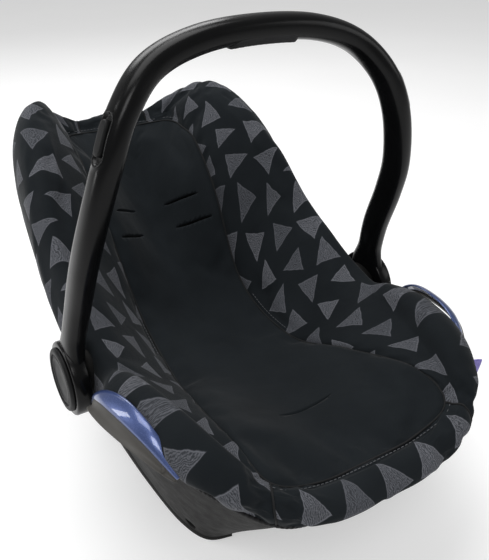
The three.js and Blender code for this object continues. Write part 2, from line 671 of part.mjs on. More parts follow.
// The elastic runs in two lengths, one round each end, and both end at the pivot bosses.
const hemElastic = layer(ALL_RIBS, [ROW.hem, ROW.hem + 1], hemFace(1), hemFace(COVER), true)
  .subtract(bothSides).decompose()
  .sort((a, b) => a.boundingBox().min[1] - b.boundingBox().min[1]);
// The foam without the room that the shell, the bosses, the guides' arms and the adjuster take.
const foam = largest(
  linerSolid().subtract(shell).subtract(bothSides).subtract(adjusterPocket()),
);
const centrePanel = slitCuts().reduce(
  (cloth, cut) => cloth.subtract(cut), coverPiece(ALL_RIBS, range(ROW.spine, ROW.seam), true),
);

function finish(color, roughness, metalness = 0) {
  return new THREE.MeshStandardMaterial({ color, roughness, metalness });
}

const MATERIALS = {
  blackPlastic: finish(0x17181a, 0.32),
  shellPlastic: finish(0x2e2e2d, 0.5),
  bluePlastic: finish(0x3f5590, 0.25, 0.3),
  jersey: finish(0x1d2124, 0.95),
  patterned: finish(0x25282b, 0.95),
  elastic: finish(0x101112, 0.9),
  foam: finish(0x3a3b3d, 0.9),
  rubber: finish(0x141415, 0.7),
  steel: finish(0xa8abae, 0.3, 1),
  silverPlastic: finish(0x8f9295, 0.4, 0.4),
  woven: finish(0x6d6fb0, 0.85),
};

const group = new THREE.Group();
group.position.y = ORIGIN_SHIFT_Y;

function part(name, solid, material) {
  const mesh = new THREE.Mesh(toGeometry(solid), MATERIALS[material]);
  mesh.name = name;
  group.add(mesh);
}

function pair(name, rightSolid, material) {
  part(`${name}_right`, rightSolid, material);
  part(`${name}_left`, mirrored(rightSolid), material);
}

part('shell', shell, 'shellPlastic');
part('foam_liner', foam, 'foam');
part('cover_centre', centrePanel, 'jersey');
pair('cover_bolster', rightBolster, 'patterned');
part('cover_foot_band', coverPiece(footRibs, rimRows), 'patterned');
part('cover_head_band', coverPiece(headRibs, rimRows), 'jersey');
part('hem_elastic_foot', hemElastic[0], 'elastic');
part('hem_elastic_head', hemElastic[1], 'elastic');
part('woven_tag', wovenTag(), 'woven');
pair('belt_guide', beltGuide(skirtBlock(rightRibs(9, 19))), 'bluePlastic');
part('rear_belt_hook', rearBeltHook(skirtBlock([...leftRibs(3, 1), ...rightRibs(0, 3)])), 'bluePlastic');
for (const { name, y } of DOCK_BARS) part(name, dockingBar(y), 'steel');
part('harness_yoke', harnessYoke(), 'steel');
part('crotch_anchor', crotchAnchor(), 'steel');
part('adjuster_housing', adjusterHousing(), 'blackPlastic');
part('adjuster_button', adjusterButton(), 'silverPlastic');
pair('pivot_bolt', pivotBolt(), 'steel');
pair('lock_ring', lockRing(), 'steel');
pair('adapter_release', fromSpans(RELEASE), 'silverPlastic');
part('handle', handleSolid(), 'blackPlastic');
part('handle_grip', gripSolid(), 'rubber');
pair('hub_cap', hubCap(), 'blackPlastic');
pair('lock_pawl', lockPawl(), 'steel');
pair('handle_button', buttonSolid(), 'blackPlastic');

export default group;
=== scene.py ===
"""Infant car seat: the visual model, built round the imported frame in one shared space, in metres."""
import math

import bmesh
import bpy
import numpy as np
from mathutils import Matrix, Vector, noise


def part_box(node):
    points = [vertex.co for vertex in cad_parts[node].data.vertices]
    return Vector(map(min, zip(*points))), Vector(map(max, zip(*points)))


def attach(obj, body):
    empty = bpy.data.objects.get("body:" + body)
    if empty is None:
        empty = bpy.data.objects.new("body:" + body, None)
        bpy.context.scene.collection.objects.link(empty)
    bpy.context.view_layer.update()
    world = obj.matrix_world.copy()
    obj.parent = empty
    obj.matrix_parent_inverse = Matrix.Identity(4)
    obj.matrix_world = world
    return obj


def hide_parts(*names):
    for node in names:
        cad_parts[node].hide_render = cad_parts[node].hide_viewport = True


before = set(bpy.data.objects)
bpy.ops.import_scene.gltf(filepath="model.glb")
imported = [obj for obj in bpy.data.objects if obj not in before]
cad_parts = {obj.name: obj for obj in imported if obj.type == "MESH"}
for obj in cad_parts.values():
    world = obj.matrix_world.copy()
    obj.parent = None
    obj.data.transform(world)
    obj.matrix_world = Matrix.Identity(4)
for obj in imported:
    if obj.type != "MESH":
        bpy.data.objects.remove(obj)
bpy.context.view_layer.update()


# ---- driving dimensions, in millimetres from the handle pivot axis, as in the CAD part -------------
MM = 0.001
ORIGIN_SHIFT = np.array([0.0, -52.5, 0.0])
SPINE = [
    [0, 330, 342], [0, 316, 327], [0, 300, 310], [0, 280, 289], [0, 256, 265], [0, 205, 218],
    [0, 120, 164], [0, 25, 145], [0, -70, 152], [0, -165, 173], [0, -207, 180.5], [0, -224, 183],
    [0, -230, 184],
]
SEAM = [
    [0, 350, 364], [52, 346, 367], [78, 328, 371], [84, 298, 368], [86, 258, 355], [84, 200, 300],
    [78, 115, 190], [85, 5, 160], [102, -90, 188], [115, -190, 217], [108, -243, 208],
    [60, -251, 191], [0, -250, 186],
]
CREST = [
    [0, 366, 377], [52, 364, 380], [90, 347, 401], [119, 303, 427], [142, 252, 418],
    [162, 170, 366], [178, 95, 294], [184, -20, 238], [177, -115, 238], [149, -214, 230],
    [117, -259, 212], [64, -272, 194], [0, -272, 187],
]
HEM = [
    [0, 388, 340], [58, 385, 338], [100, 373, 328], [138, 345, 312], [161, 300, 290],
    [175, 200, 245], [183, 112, 215], [190, -20, 196], [190, -115, 200], [161, -210, 196],
    [118, -266, 180], [64, -275, 167], [0, -274, 160],
]
KEEL = [
    [0, 225, 52], [55, 222, 48], [95, 205, 36], [118, 182, 24], [128, 160, 10], [133, 130, 0],
    [134, 70, 0], [132, 0, 0], [126, -70, 0], [112, -114, 3], [86, -134, 12], [48, -143, 18],
    [0, -144, 20],
]
ROLL = [
    [12, 5, 14], [12, 8, 16], [14, 13, 18], [16, 16, 20], [17, 17, 20], [18, 17, 20],
    [18, 17, 20], [17, 16, 20], [16, 15, 20], [16, 13, 18], [11, 2, 14], [12, -1, 13],
    [12, -2, 13],
]
RIBS = 24                      # ribs from the head end to the foot end
HEAD_RIB = 2                   # the head edge band ends here
FOOT_RIB = 20                  # the foot band starts here
# Where a rib is sampled: 0 spine, 1 seam, 2 inside of the rim, 3 crest, 4 outside, 5 hem, 6 keel.
SEAM_ROW, INSIDE_ROW, CREST_ROW, OUTSIDE_ROW, HEM_ROW, KEEL_ROW = 1, 2, 3, 4, 5, 6
COVER = 4
SKIRT_DEPTH = 5.6
WALL = 4
LINER_MAX = 14

PIVOT_Z = 209
HANDLE_LINE = [
    [208, 0, 209], [204, -4, 250], [197, -18, 302], [192, -40, 357], [184, -56, 404],
    [167, -65, 462], [147, -61, 505], [114, -51, 538], [64, -49, 556], [0, -49, 561],
]
HANDLE_WIDTH = 34
HANDLE_THICKNESS = 25
NECK_THICKNESS = 20            # the bar is thinner down by the hub
NECK_TOP = 330
BUTTON_Z = 482
GUIDE_LINE = [[204, -50, 206], [208, -82, 235], [205, -120, 244], [196, -166, 240], [181, -203, 215]]


# ---- curves and the seat's surface -----------------------------------------------------------------
def catmull(controls, t, centripetal=False):
    """The point at t, from 0 to 1, of the Catmull-Rom curve through the controls."""
    last = len(controls) - 1
    k = min(int(t * last), last - 1)
    w = t * last - k
    p1, p2 = controls[k], controls[k + 1]
    p0 = controls[k - 1] if k > 0 else 2 * p1 - p2
    p3 = controls[k + 2] if k + 2 <= last else 2 * p2 - p1
    if centripetal:
        d0, d1, d2 = (root_distance(a, b) for a, b in ((p0, p1), (p1, p2), (p2, p3)))
        m1 = ((p1 - p0) / d0 - (p2 - p0) / (d0 + d1) + (p2 - p1) / d1) * d1
        m2 = ((p2 - p1) / d1 - (p3 - p1) / (d1 + d2) + (p3 - p2) / d2) * d1
    else:
        m1, m2 = 0.5 * (p2 - p0), 0.5 * (p3 - p1)
    c2 = 3 * (p2 - p1) - 2 * m1 - m2
    c3 = 2 * (p1 - p2) + m1 + m2
    return p1 + w * (m1 + w * (c2 + w * c3))


def root_distance(a, b):
    return np.sqrt(np.maximum(np.linalg.norm(b - a, axis=-1, keepdims=True), 1e-6))


def unit(vectors):
    return vectors / np.maximum(np.linalg.norm(vectors, axis=-1, keepdims=True), 1e-9)


def along_guide(points, steps):
    controls = np.array(points, float)
    return np.array([catmull(controls, step / RIBS) for step in steps])


def surface(steps, rows):
    """The right half of the seat's outer surface, in mm: one point for each rib step and row."""
    spine, seam, crest, hem, keel, roll = (
        along_guide(points, steps) for points in (SPINE, SEAM, CREST, HEM, KEEL, ROLL)
    )
    half_width, drop_in, drop_out = roll[:, 0:1], roll[:, 1:2], roll[:, 2:3]
    up = unit(crest - (0.2 * seam + 0.8 * hem))
    across = hem - seam
    across = unit(across - up * np.sum(across * up, axis=1, keepdims=True))
    inside = crest - across * half_width - up * drop_in
    outside = crest + across * half_width - up * drop_out
    far_seam = seam * [-1, 1, 1]
    controls = np.array([far_seam, spine, seam, inside, crest, outside, hem, keel])
    points = np.stack([catmull(controls, (1 + row) / 7, True) for row in rows], axis=1)
    points[np.isin(steps, (0, RIBS)), :, 0] = 0
    points[:, np.asarray(rows) == 0, 0] = 0
    return points


def patch(steps, rows):
    """Points and outward normals of the right half, over the given rib steps and rows."""
    steps, rows = np.asarray(steps, float), np.asarray(rows, float)
    points = surface(steps, rows)
    nudge = 0.02
    ahead = surface(np.minimum(steps + nudge, RIBS), rows)
    behind = surface(np.maximum(steps - nudge, 0), rows)
    above = surface(steps, np.minimum(rows + nudge, KEEL_ROW))
    below = surface(steps, np.maximum(rows - nudge, 0.001))
    normals = np.cross(ahead - behind, above - below)
    normals[np.isin(steps, (0, RIBS)), :, 0] = 0
    normals[:, rows == 0, 0] = 0
    return points, unit(normals)


def mirrored(points):
    return points * [-1, 1, 1]


def whole_width(points):
    """A patch that starts at the spine, with its mirror image, as one grid across the seat."""
    return np.concatenate([mirrored(points[:, :0:-1]), points], axis=1)


def round_foot(points):
    """A patch that ends at the foot's middle, with its mirror image, as one grid round the foot."""
    return np.concatenate([points, mirrored(points[-2::-1])], axis=0)


def round_head(points):
    return np.concatenate([mirrored(points[:0:-1]), points], axis=0)


def lengths(grid, axis):
    """How far along a grid each point is, in mm, along one of its axes."""
    steps = np.linalg.norm(np.diff(grid, axis=axis), axis=2)
    zero = np.zeros_like(np.take(steps, [0], axis=axis))
    return np.cumsum(np.concatenate([zero, steps], axis=axis), axis=axis)


# ---- meshes ----------------------------------------------------------------------------------------
def to_metres(points):
    return (np.asarray(points, float).reshape(-1, 3) + ORIGIN_SHIFT) * MM


def placed(name, data):
    """A new object that shows some data in the scene."""
    item = bpy.data.objects.new(name, data)
    bpy.context.scene.collection.objects.link(item)
    return item


def make_piece(name, points, faces, material, body="seat", slot=None, node=None, uv=None, free=None):
    """A mesh object from points in mm, for the named CAD node. uv holds one pair in metres for each
    point, and free says which points the cloth simulation may move."""
    mesh = bpy.data.meshes.new(name)
    mesh.from_pydata(to_metres(points).tolist(), [], faces)
    if free is not None:
        mesh.attributes.new("free", "FLOAT", "POINT").data.foreach_set("value", free)
    if uv is not None:
        layer = mesh.uv_layers.new(name="flat")
        for loop in mesh.loops:
            layer.data[loop.index].uv = uv[loop.vertex_index]
    cleaned(mesh)
    piece = placed(name, mesh)
    mesh.materials.append(material)
    for face in mesh.polygons:
        face.use_smooth = True
    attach(piece, body)
    if node:
        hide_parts(node)
    return piece


def cleaned(mesh):
    """Welds doubled points and turns every face outward."""
    bm = bmesh.new()
    bm.from_mesh(mesh)
    bmesh.ops.remove_doubles(bm, verts=bm.verts, dist=1e-6)
    bmesh.ops.dissolve_degenerate(bm, dist=1e-7, edges=bm.edges)
    bmesh.ops.recalc_face_normals(bm, faces=bm.faces)
    bm.to_mesh(mesh)
    bm.free()


def grid_faces(rows, columns, start=0, wrap=False):
    """Quads of a grid of points. A wrapped grid joins its last column to its first."""
    faces = []
    for r in range(rows - 1):
        for c in range(columns if wrap else columns - 1):
            d = (c + 1) % columns
            faces.append((
                start + r * columns + c, start + r * columns + d,
                start + (r + 1) * columns + d, start + (r + 1) * columns + c,
            ))
    return faces


def sweep_faces(rings, sides, start=0):
    """A tube of rings, closed at both ends."""
    last = start + (rings - 1) * sides
    ends = [tuple(range(start, start + sides)), tuple(range(last + sides - 1, last - 1, -1))]
    return grid_faces(rings, sides, start, wrap=True) + ends


def slab(outer, inner, walls="first last left right"):
    """Points and faces of the solid between two grids of the same size, with walls on the named
    edges. An edge has none where the grid meets its own other half."""
    rows, columns = outer.shape[:2]
    count = rows * columns
    faces = grid_faces(rows, columns)
    faces += [tuple(reversed([count + i for i in face])) for face in grid_faces(rows, columns)]
    edges = {
        "first": list(range(columns)),
        "last": [(rows - 1) * columns + c for c in range(columns)],
        "left": [r * columns for r in range(rows)],
        "right": [r * columns + columns - 1 for r in range(rows)],
    }
    for edge in walls.split():
        faces += [(a, b, count + b, count + a) for a, b in zip(edges[edge], edges[edge][1:])]
    return np.concatenate([outer.reshape(-1, 3), inner.reshape(-1, 3)]), faces


def tube(path, radius, sides=10, squash=1.0, side=None):
    """Points and faces of a tube along a path. squash flattens it along the side direction."""
    path = np.asarray(path, float)
    heading = unit(np.gradient(path, axis=0))
    if side is None:
        side = np.tile([0.0, 0.0, 1.0], (len(path), 1))
    across = unit(np.cross(heading, side))
    flat = unit(np.cross(across, heading))
    angles = np.linspace(0, 2 * np.pi, sides, endpoint=False)
    rings = (
        path[:, None]
        + radius * np.cos(angles)[None, :, None] * across[:, None]
        + radius * squash * np.sin(angles)[None, :, None] * flat[:, None]
    )
    return rings.reshape(-1, 3), sweep_faces(len(path), sides)


def lathe(profile, segments, side, y=0, z=PIVOT_Z):
    """A solid turned about a line along X. The profile holds (radius, x) pairs in mm."""
    angles = np.linspace(0, 2 * np.pi, segments, endpoint=False)
    rings = [[[side * x, y + r * math.cos(a), z + r * math.sin(a)] for a in angles] for r, x in profile]
    return np.array(rings).reshape(-1, 3), sweep_faces(len(profile), segments)


def joined(*solids):
    """Several (points, faces) solids as one."""
    points, faces, start = [], [], 0
    for solid_points, solid_faces in solids:
        points.append(np.asarray(solid_points, float).reshape(-1, 3))
        faces += [tuple(start + i for i in face) for face in solid_faces]
        start += len(points[-1])
    return np.concatenate(points), faces


def smooth_step(value):
    value = np.clip(value, 0, 1)
    return value * value * (3 - 2 * value)


# ---- materials -------------------------------------------------------------------------------------
class Nodes:
    """Builds one procedural material, with short calls for the nodes that it uses."""

    def __init__(self, name):
        self.material = bpy.data.materials.new(name)
        self.material.use_nodes = True
        self.tree = self.material.node_tree
        self.shader = self.tree.nodes["Principled BSDF"]

    def add(self, kind, settings=None, **inputs):
        node = self.tree.nodes.new(kind)
        for key, value in (settings or {}).items():
            setattr(node, key, value)
        for key, value in inputs.items():
            self.put(node.inputs[key.replace("_", " ")], value)
        return node

    def put(self, socket, value):
        if isinstance(value, bpy.types.NodeSocket):
            self.tree.links.new(value, socket)
        else:
            socket.default_value = value

    def math(self, operation, *values):
        node = self.add("ShaderNodeMath", {"operation": operation})
        for socket, value in zip(node.inputs, values):
            self.put(socket, value)
        return node.outputs[0]

    def flat(self):
        """The surface's own place on its cloth, in metres."""
        return self.add("ShaderNodeUVMap", {"uv_map": "flat"}).outputs[0]

    def place(self):
        return self.add("ShaderNodeTexCoord").outputs["Object"]

    def vector(self, operation, *values):
        node = self.add("ShaderNodeVectorMath", {"operation": operation})
        for socket, value in zip(node.inputs, values):
            self.put(socket, value)
        return node.outputs[0]

    def parts(self, vector):
        return self.add("ShaderNodeSeparateXYZ", Vector=vector).outputs[:2]

    def noise(self, vector, scale, detail=3.0, roughness=0.5):
        node = self.add(
            "ShaderNodeTexNoise", Vector=vector, Scale=scale, Detail=detail, Roughness=roughness
        )
        return node.outputs["Fac"]

    def ramp(self, factor, *stops):
        node = self.add("ShaderNodeValToRGB", Fac=factor)
        elements = node.color_ramp.elements
        while len(elements) < len(stops):
            elements.new(0.5)
        for element, (position, colour) in zip(elements, stops):
            element.position = position
            element.color = (*colour, 1)
        return node.outputs["Color"]

    def mix(self, factor, first, second):
        node = self.add("ShaderNodeMix", {"data_type": "RGBA"})
        self.put(node.inputs["Factor"], factor)
        for socket, value in ((node.inputs[6], first), (node.inputs[7], second)):
            self.put(socket, (*value, 1) if isinstance(value, tuple) else value)
        return node.outputs[2]

    def span(self, value, low, high, to_low=0.0, to_high=1.0):
        node = self.add("ShaderNodeMapRange", {"clamp": True})
        for socket, number in zip(node.inputs, (value, low, high, to_low, to_high)):
            self.put(socket, number)
        return node.outputs[0]

    def bump(self, height, distance, strength=1.0, under=None):
        node = self.add("ShaderNodeBump", Height=height, Distance=distance, Strength=strength)
        if under is not None:
            self.put(node.inputs["Normal"], under)
        return node.outputs[0]

    def finish(self, **inputs):
        for key, value in inputs.items():
            self.put(self.shader.inputs[key.replace("_", " ")], value)
        return self.material


KNIT_LOOPS = 740               # loops of the knit in a metre of cloth


def knit_height(nodes):
    """A fine uneven knit: two sets of ribs that cross, in the cloth's own plane."""
    across, along = nodes.parts(nodes.flat())
    loops = nodes.math("SINE", nodes.math("MULTIPLY", across, 2 * math.pi * KNIT_LOOPS))
    rows = nodes.math("SINE", nodes.math("MULTIPLY", along, 2 * math.pi * KNIT_LOOPS * 0.8))
    yarn = nodes.noise(nodes.flat(), 1500.0, 2.0)
    return nodes.math("ADD", nodes.math("MULTIPLY", nodes.math("MULTIPLY", loops, rows), 0.3), yarn)


CLOTH_DARK = (0.0068, 0.0088, 0.0106)
CLOTH_LIGHT = (0.0112, 0.0140, 0.0164)


def cloth_ground(nodes):
    """The dark cloth's own colour, uneven in wide soft patches."""
    patches = nodes.noise(nodes.flat(), 9.0, 4.0, 0.6)
    return nodes.ramp(patches, (0.3, CLOTH_DARK), (0.72, CLOTH_LIGHT))


def cloth_bump(nodes):
    crumple = nodes.bump(nodes.noise(nodes.flat(), 34.0, 3.0), 0.0016, 0.6)
    return nodes.bump(knit_height(nodes), 0.00022, 0.4, crumple)


def jersey_material():
    nodes = Nodes("jersey")
    return nodes.finish(
        Base_Color=cloth_ground(nodes), Roughness=0.88, Normal=cloth_bump(nodes),
        Sheen_Weight=0.06, Sheen_Roughness=0.4, Specular_IOR_Level=0.1,
    )


TRIANGLE_PITCH = 0.047         # between the middles of printed triangles
TRIANGLE_SIZE = 0.0112         # from a triangle's middle to its sides, at half its height


def printed_material(name, turn_range, first_turn, first_row):
    """Dark cloth printed with hand-drawn grey triangles, hatched in fine lines. first_row moves the
    rows of triangles across the cloth, in rows."""
    nodes = Nodes(name)
    flat = nodes.flat()
    wobble = nodes.add("ShaderNodeTexNoise", Vector=flat, Scale=70.0, Detail=4.0)
    drawn = nodes.vector("MULTIPLY_ADD", wobble.outputs["Color"], (0.0042, 0.0042, 0), flat)
    per_metre = 1 / TRIANGLE_PITCH
    u, v = nodes.parts(nodes.vector("MULTIPLY_ADD", drawn, (per_metre, per_metre, 0), (0, first_row, 0)))
    row = nodes.math("FLOOR", v)
    staggered = nodes.math("ADD", u, nodes.math("MULTIPLY", row, 0.5))
    column = nodes.math("FLOOR", staggered)
    cell = nodes.add("ShaderNodeCombineXYZ", X=column, Y=row)
    chance = nodes.add("ShaderNodeSeparateColor", Color=nodes.add(
        "ShaderNodeTexWhiteNoise", Vector=cell.outputs[0]).outputs["Color"])
    away = nodes.add(
        "ShaderNodeCombineXYZ",
        X=nodes.math("SUBTRACT", nodes.math("SUBTRACT", staggered, column), 0.5),
        Y=nodes.math("SUBTRACT", nodes.math("SUBTRACT", v, row), 0.5),
    )
    turned = nodes.add(
        "ShaderNodeVectorRotate", {"rotation_type": "Z_AXIS"}, Vector=away.outputs[0],
        Angle=nodes.span(chance.outputs[0], 0, 1, first_turn, first_turn + turn_range),
    )
    x, y = nodes.parts(nodes.vector("MULTIPLY", turned.outputs[0], (TRIANGLE_PITCH, TRIANGLE_PITCH, 0)))
    slant = nodes.math("ADD", nodes.math("ABSOLUTE", x), nodes.math("MULTIPLY", y, 0.49))
    side = nodes.math("MAXIMUM", slant, nodes.math("MULTIPLY", y, -0.84))
    size = nodes.span(chance.outputs[1], 0, 1, TRIANGLE_SIZE * 0.86, TRIANGLE_SIZE * 1.04)
    inside = nodes.math("SUBTRACT", size, side)
    ink = nodes.span(inside, -0.0003, 0.0004)
    outline = nodes.math("MULTIPLY", ink, nodes.span(inside, 0.0014, 0.0007))
    hatch_line = nodes.math("ADD", nodes.math("MULTIPLY", x, 3200.0),
                            nodes.math("MULTIPLY", nodes.noise(flat, 120.0, 4.0), 34.0))
    hatch = nodes.span(nodes.math("SINE", hatch_line), -0.9, 0.5, 0.30, 0.92)
    speckle = nodes.span(nodes.noise(flat, 620.0, 3.0), 0.36, 0.6, 0.55, 1.0)
    density = nodes.math("MAXIMUM", nodes.math("MULTIPLY", hatch, speckle),
                         nodes.math("MULTIPLY", outline, 0.95))
    cover = nodes.math("MULTIPLY", ink, density)
    ink_colour = nodes.mix(chance.outputs[2], (0.098, 0.102, 0.116), (0.142, 0.146, 0.164))
    colour = nodes.mix(cover, cloth_ground(nodes), ink_colour)
    return nodes.finish(
        Base_Color=colour, Roughness=0.9, Normal=cloth_bump(nodes),
        Sheen_Weight=0.06, Sheen_Roughness=0.4, Specular_IOR_Level=0.1,
    )


def elastic_material():
    nodes = Nodes("elastic")
    along = nodes.parts(nodes.flat())[0]
    gathers = nodes.math("SINE", nodes.math("MULTIPLY", along, 1300.0))
    # Painted shade and painted light: the colour follows the gathers, darker in their troughs and
    # lighter on their crests.
    colour = nodes.ramp(nodes.span(gathers, -1, 1), (0, (0.003, 0.003, 0.0034)),
                        (1, (0.009, 0.009, 0.010)))
    return nodes.finish(
        Base_Color=colour, Roughness=0.85, Normal=nodes.bump(gathers, 0.0006, 0.8),
        Sheen_Weight=0.05, Specular_IOR_Level=0.12,
    )


def moulded_material(name, dark, light, roughness, grain=0.00012, grain_scale=900.0,
                     specular=0.3, metallic=0.0):
    """Moulded plastic: a fine grain, and slow changes of colour and gloss."""
    nodes = Nodes(name)
    place = nodes.place()
    slow = nodes.noise(place, 11.0, 4.0, 0.6)
    fine = nodes.noise(place, grain_scale, 2.0)
    colour = nodes.ramp(slow, (0.3, dark), (0.7, light))
    gloss = nodes.span(nodes.noise(place, 60.0, 4.0, 0.65), 0.3, 0.7, roughness * 0.88, roughness * 1.12)
    return nodes.finish(
        Base_Color=colour, Roughness=gloss, Normal=nodes.bump(fine, grain, 0.5),
        Specular_IOR_Level=specular, Metallic=metallic,
    )


def metallic_paint_material():
    """Blue lacquer with fine bright flakes under a clear coat."""
    nodes = Nodes("metallic_blue")
    place = nodes.place()
    flakes = nodes.add("ShaderNodeTexVoronoi", Vector=place, Scale=2600.0)
    chance = nodes.add("ShaderNodeSeparateColor", Color=flakes.outputs["Color"])
    ground = nodes.ramp(nodes.noise(place, 14.0, 2.0), (0.3, (0.030, 0.056, 0.170)),
                        (0.75, (0.048, 0.080, 0.230)))
    colour = nodes.mix(nodes.span(chance.outputs[0], 0.7, 1.0, 0.0, 0.35), ground, (0.20, 0.25, 0.50))
    return nodes.finish(
        Base_Color=colour, Metallic=0.45, Roughness=0.34, Coat_Weight=0.9, Coat_Roughness=0.04,
        Normal=nodes.bump(nodes.noise(place, 1500.0, 1.0), 0.00003, 0.3),
    )


def metal_material(name, dark, light, roughness, stretch):
    """Plated or brushed metal, with scratches drawn out along one direction."""
    nodes = Nodes(name)
    place = nodes.place()
    brushed = nodes.noise(nodes.vector("MULTIPLY", place, stretch), 420.0, 3.0)
    colour = nodes.ramp(nodes.noise(place, 30.0, 4.0), (0.3, dark), (0.7, light))
    return nodes.finish(
        Base_Color=colour, Metallic=1.0, Normal=nodes.bump(brushed, 0.00004, 0.4),
        Roughness=nodes.span(brushed, 0.3, 0.7, roughness * 0.8, roughness * 1.25),
    )


def foam_material():
    nodes = Nodes("foam")
    place = nodes.place()
    cells = nodes.add("ShaderNodeTexVoronoi", Vector=place, Scale=520.0)
    # Painted shade in the pores: the colour is darker in the middle of each cell, where the bump sinks
    # it, and lighter at the cell walls.
    colour = nodes.ramp(cells.outputs["Distance"], (0.0, (0.016, 0.016, 0.017)),
                        (0.7, (0.034, 0.035, 0.037)))
    return nodes.finish(
        Base_Color=colour, Roughness=0.95, Specular_IOR_Level=0.12,
        Normal=nodes.bump(cells.outputs["Distance"], 0.0004, 0.5),
    )


def rubber_material():
    nodes = Nodes("rubber")
    place = nodes.place()
    dots = nodes.add("ShaderNodeTexVoronoi", Vector=place, Scale=380.0, Randomness=0.1)
    studs = nodes.span(dots.outputs["Distance"], 0.15, 0.4, 1.0, 0.0)
    colour = nodes.ramp(nodes.noise(place, 40.0), (0.3, (0.006, 0.006, 0.0065)),
                        (0.7, (0.012, 0.012, 0.013)))
    return nodes.finish(
        Base_Color=colour, Roughness=0.72, Normal=nodes.bump(studs, 0.0003, 0.7),
        Specular_IOR_Level=0.3,
    )


def label_material():
    """A lilac woven label with fine ribs and no words."""
    nodes = Nodes("woven_label")
    height = nodes.add("ShaderNodeSeparateXYZ", Vector=nodes.place()).outputs[2]
    ribs = nodes.math("SINE", nodes.math("MULTIPLY", height, 7000.0))
    # Painted shade and painted light: the lilac is darker in the hollows between the ribs and lighter on
    # their ridges.
    colour = nodes.ramp(nodes.span(ribs, -1, 1), (0, (0.130, 0.095, 0.420)), (1, (0.300, 0.250, 0.700)))
    return nodes.finish(
        Base_Color=colour, Roughness=0.7, Normal=nodes.bump(ribs, 0.0002, 0.6),
        Sheen_Weight=0.3,
    )


JERSEY = jersey_material()
PRINTED = printed_material("printed_cloth", 2 * math.pi, 0, 0)
PRINTED_BAND = printed_material("printed_band", 0.6, math.pi - 0.3, 0.45)
ELASTIC = elastic_material()
SATIN_BLACK = moulded_material("satin_black", (0.0022, 0.0023, 0.0025), (0.0040, 0.0041, 0.0044),
                               0.24, 0.00003, 1400.0, specular=0.15)
HUB_BLACK = moulded_material("hub_black", (0.0035, 0.0037, 0.0040), (0.0070, 0.0072, 0.0077), 0.48,
                             0.00008, 1100.0, specular=0.15)
SHELL_GREY = moulded_material("shell_grey", (0.0065, 0.0064, 0.0063), (0.0105, 0.0103, 0.0100), 0.6,
                              0.00022, 700.0, specular=0.08)
UNDERSIDE_GREY = moulded_material("underside_grey", (0.058, 0.055, 0.050), (0.078, 0.074, 0.068),
                                  0.5, 0.0001, 800.0)
BLUE = metallic_paint_material()
SILVER = moulded_material("silver_plastic", (0.34, 0.345, 0.35), (0.45, 0.455, 0.46), 0.3,
                          0.00003, 1800.0, metallic=0.75)
STEEL = metal_material("plated_steel", (0.42, 0.43, 0.44), (0.58, 0.585, 0.59), 0.28, (0.15, 3.0, 3.0))
FOAM = foam_material()
RUBBER = rubber_material()
LABEL = label_material()
BINDING = moulded_material("slit_binding", (0.006, 0.0065, 0.007), (0.010, 0.0105, 0.011), 0.85,
                           0.00012, 1500.0)
THREAD = moulded_material("thread", (0.085, 0.088, 0.095), (0.120, 0.123, 0.130), 0.7, 0.0001)


# ---- the padded cover ------------------------------------------------------------------------------
PUFF, PUFF_REACH = 3.2, 32     # how far the padding stands up, and how far in from its seams
SEAM_DIP, SEAM_WIDTH = 1.4, 4.5
FOLD_DEPTH, FOLD_SIZE, FOLD_REACH = 0.9, 26, 15
PAD_FRAMES = 20
CLOTH_SLACK = 0.035            # how much longer the cloth is than the form under it
CLOTH_LIMIT = 4.5


def folds(points):
    """Soft uneven folds for some points, in mm."""
    return FOLD_DEPTH * np.array([
        noise.noise(Vector(point) / FOLD_SIZE) for point in points.reshape(-1, 3)
    ])


def pad(name, points, normals, node, material, slot, walls="first last left right", fullness=0.0):
    """One padded panel of the cover: swollen between its seams, with real cloth on its face."""
    across, along = lengths(points, 1), lengths(points, 0)
    edge = np.minimum(across, across[:, -1:] - across)
    if "first" in walls:
        edge = np.minimum(edge, np.minimum(along, along[-1:] - along))
    rise = PUFF * smooth_step(edge / PUFF_REACH) - SEAM_DIP * np.exp(-(edge / SEAM_WIDTH) ** 2)
    rise = rise + fullness * smooth_step(edge / FULL_REACH)
    crumple = folds(points).reshape(edge.shape) * smooth_step(edge / FOLD_REACH)
    outer = points + normals * (rise + crumple)[..., None]
    inner = points - normals * (COVER - 0.3)
    solid, faces = slab(outer, inner, walls)
    middle = along[:, along.shape[1] // 2, None]
    flat = np.stack(np.broadcast_arrays(middle, across - across[:, -1:] / 2), axis=2) * MM
    uv = np.concatenate([flat.reshape(-1, 2)] * 2)
    free = np.concatenate([(edge > 0.5).ravel(), np.zeros(edge.size)])
    piece = make_piece(name, solid, faces, material, "seat", slot, node, uv.tolist(), free)
    run_cloth(piece)
    subdivided(piece, 1)
    return piece


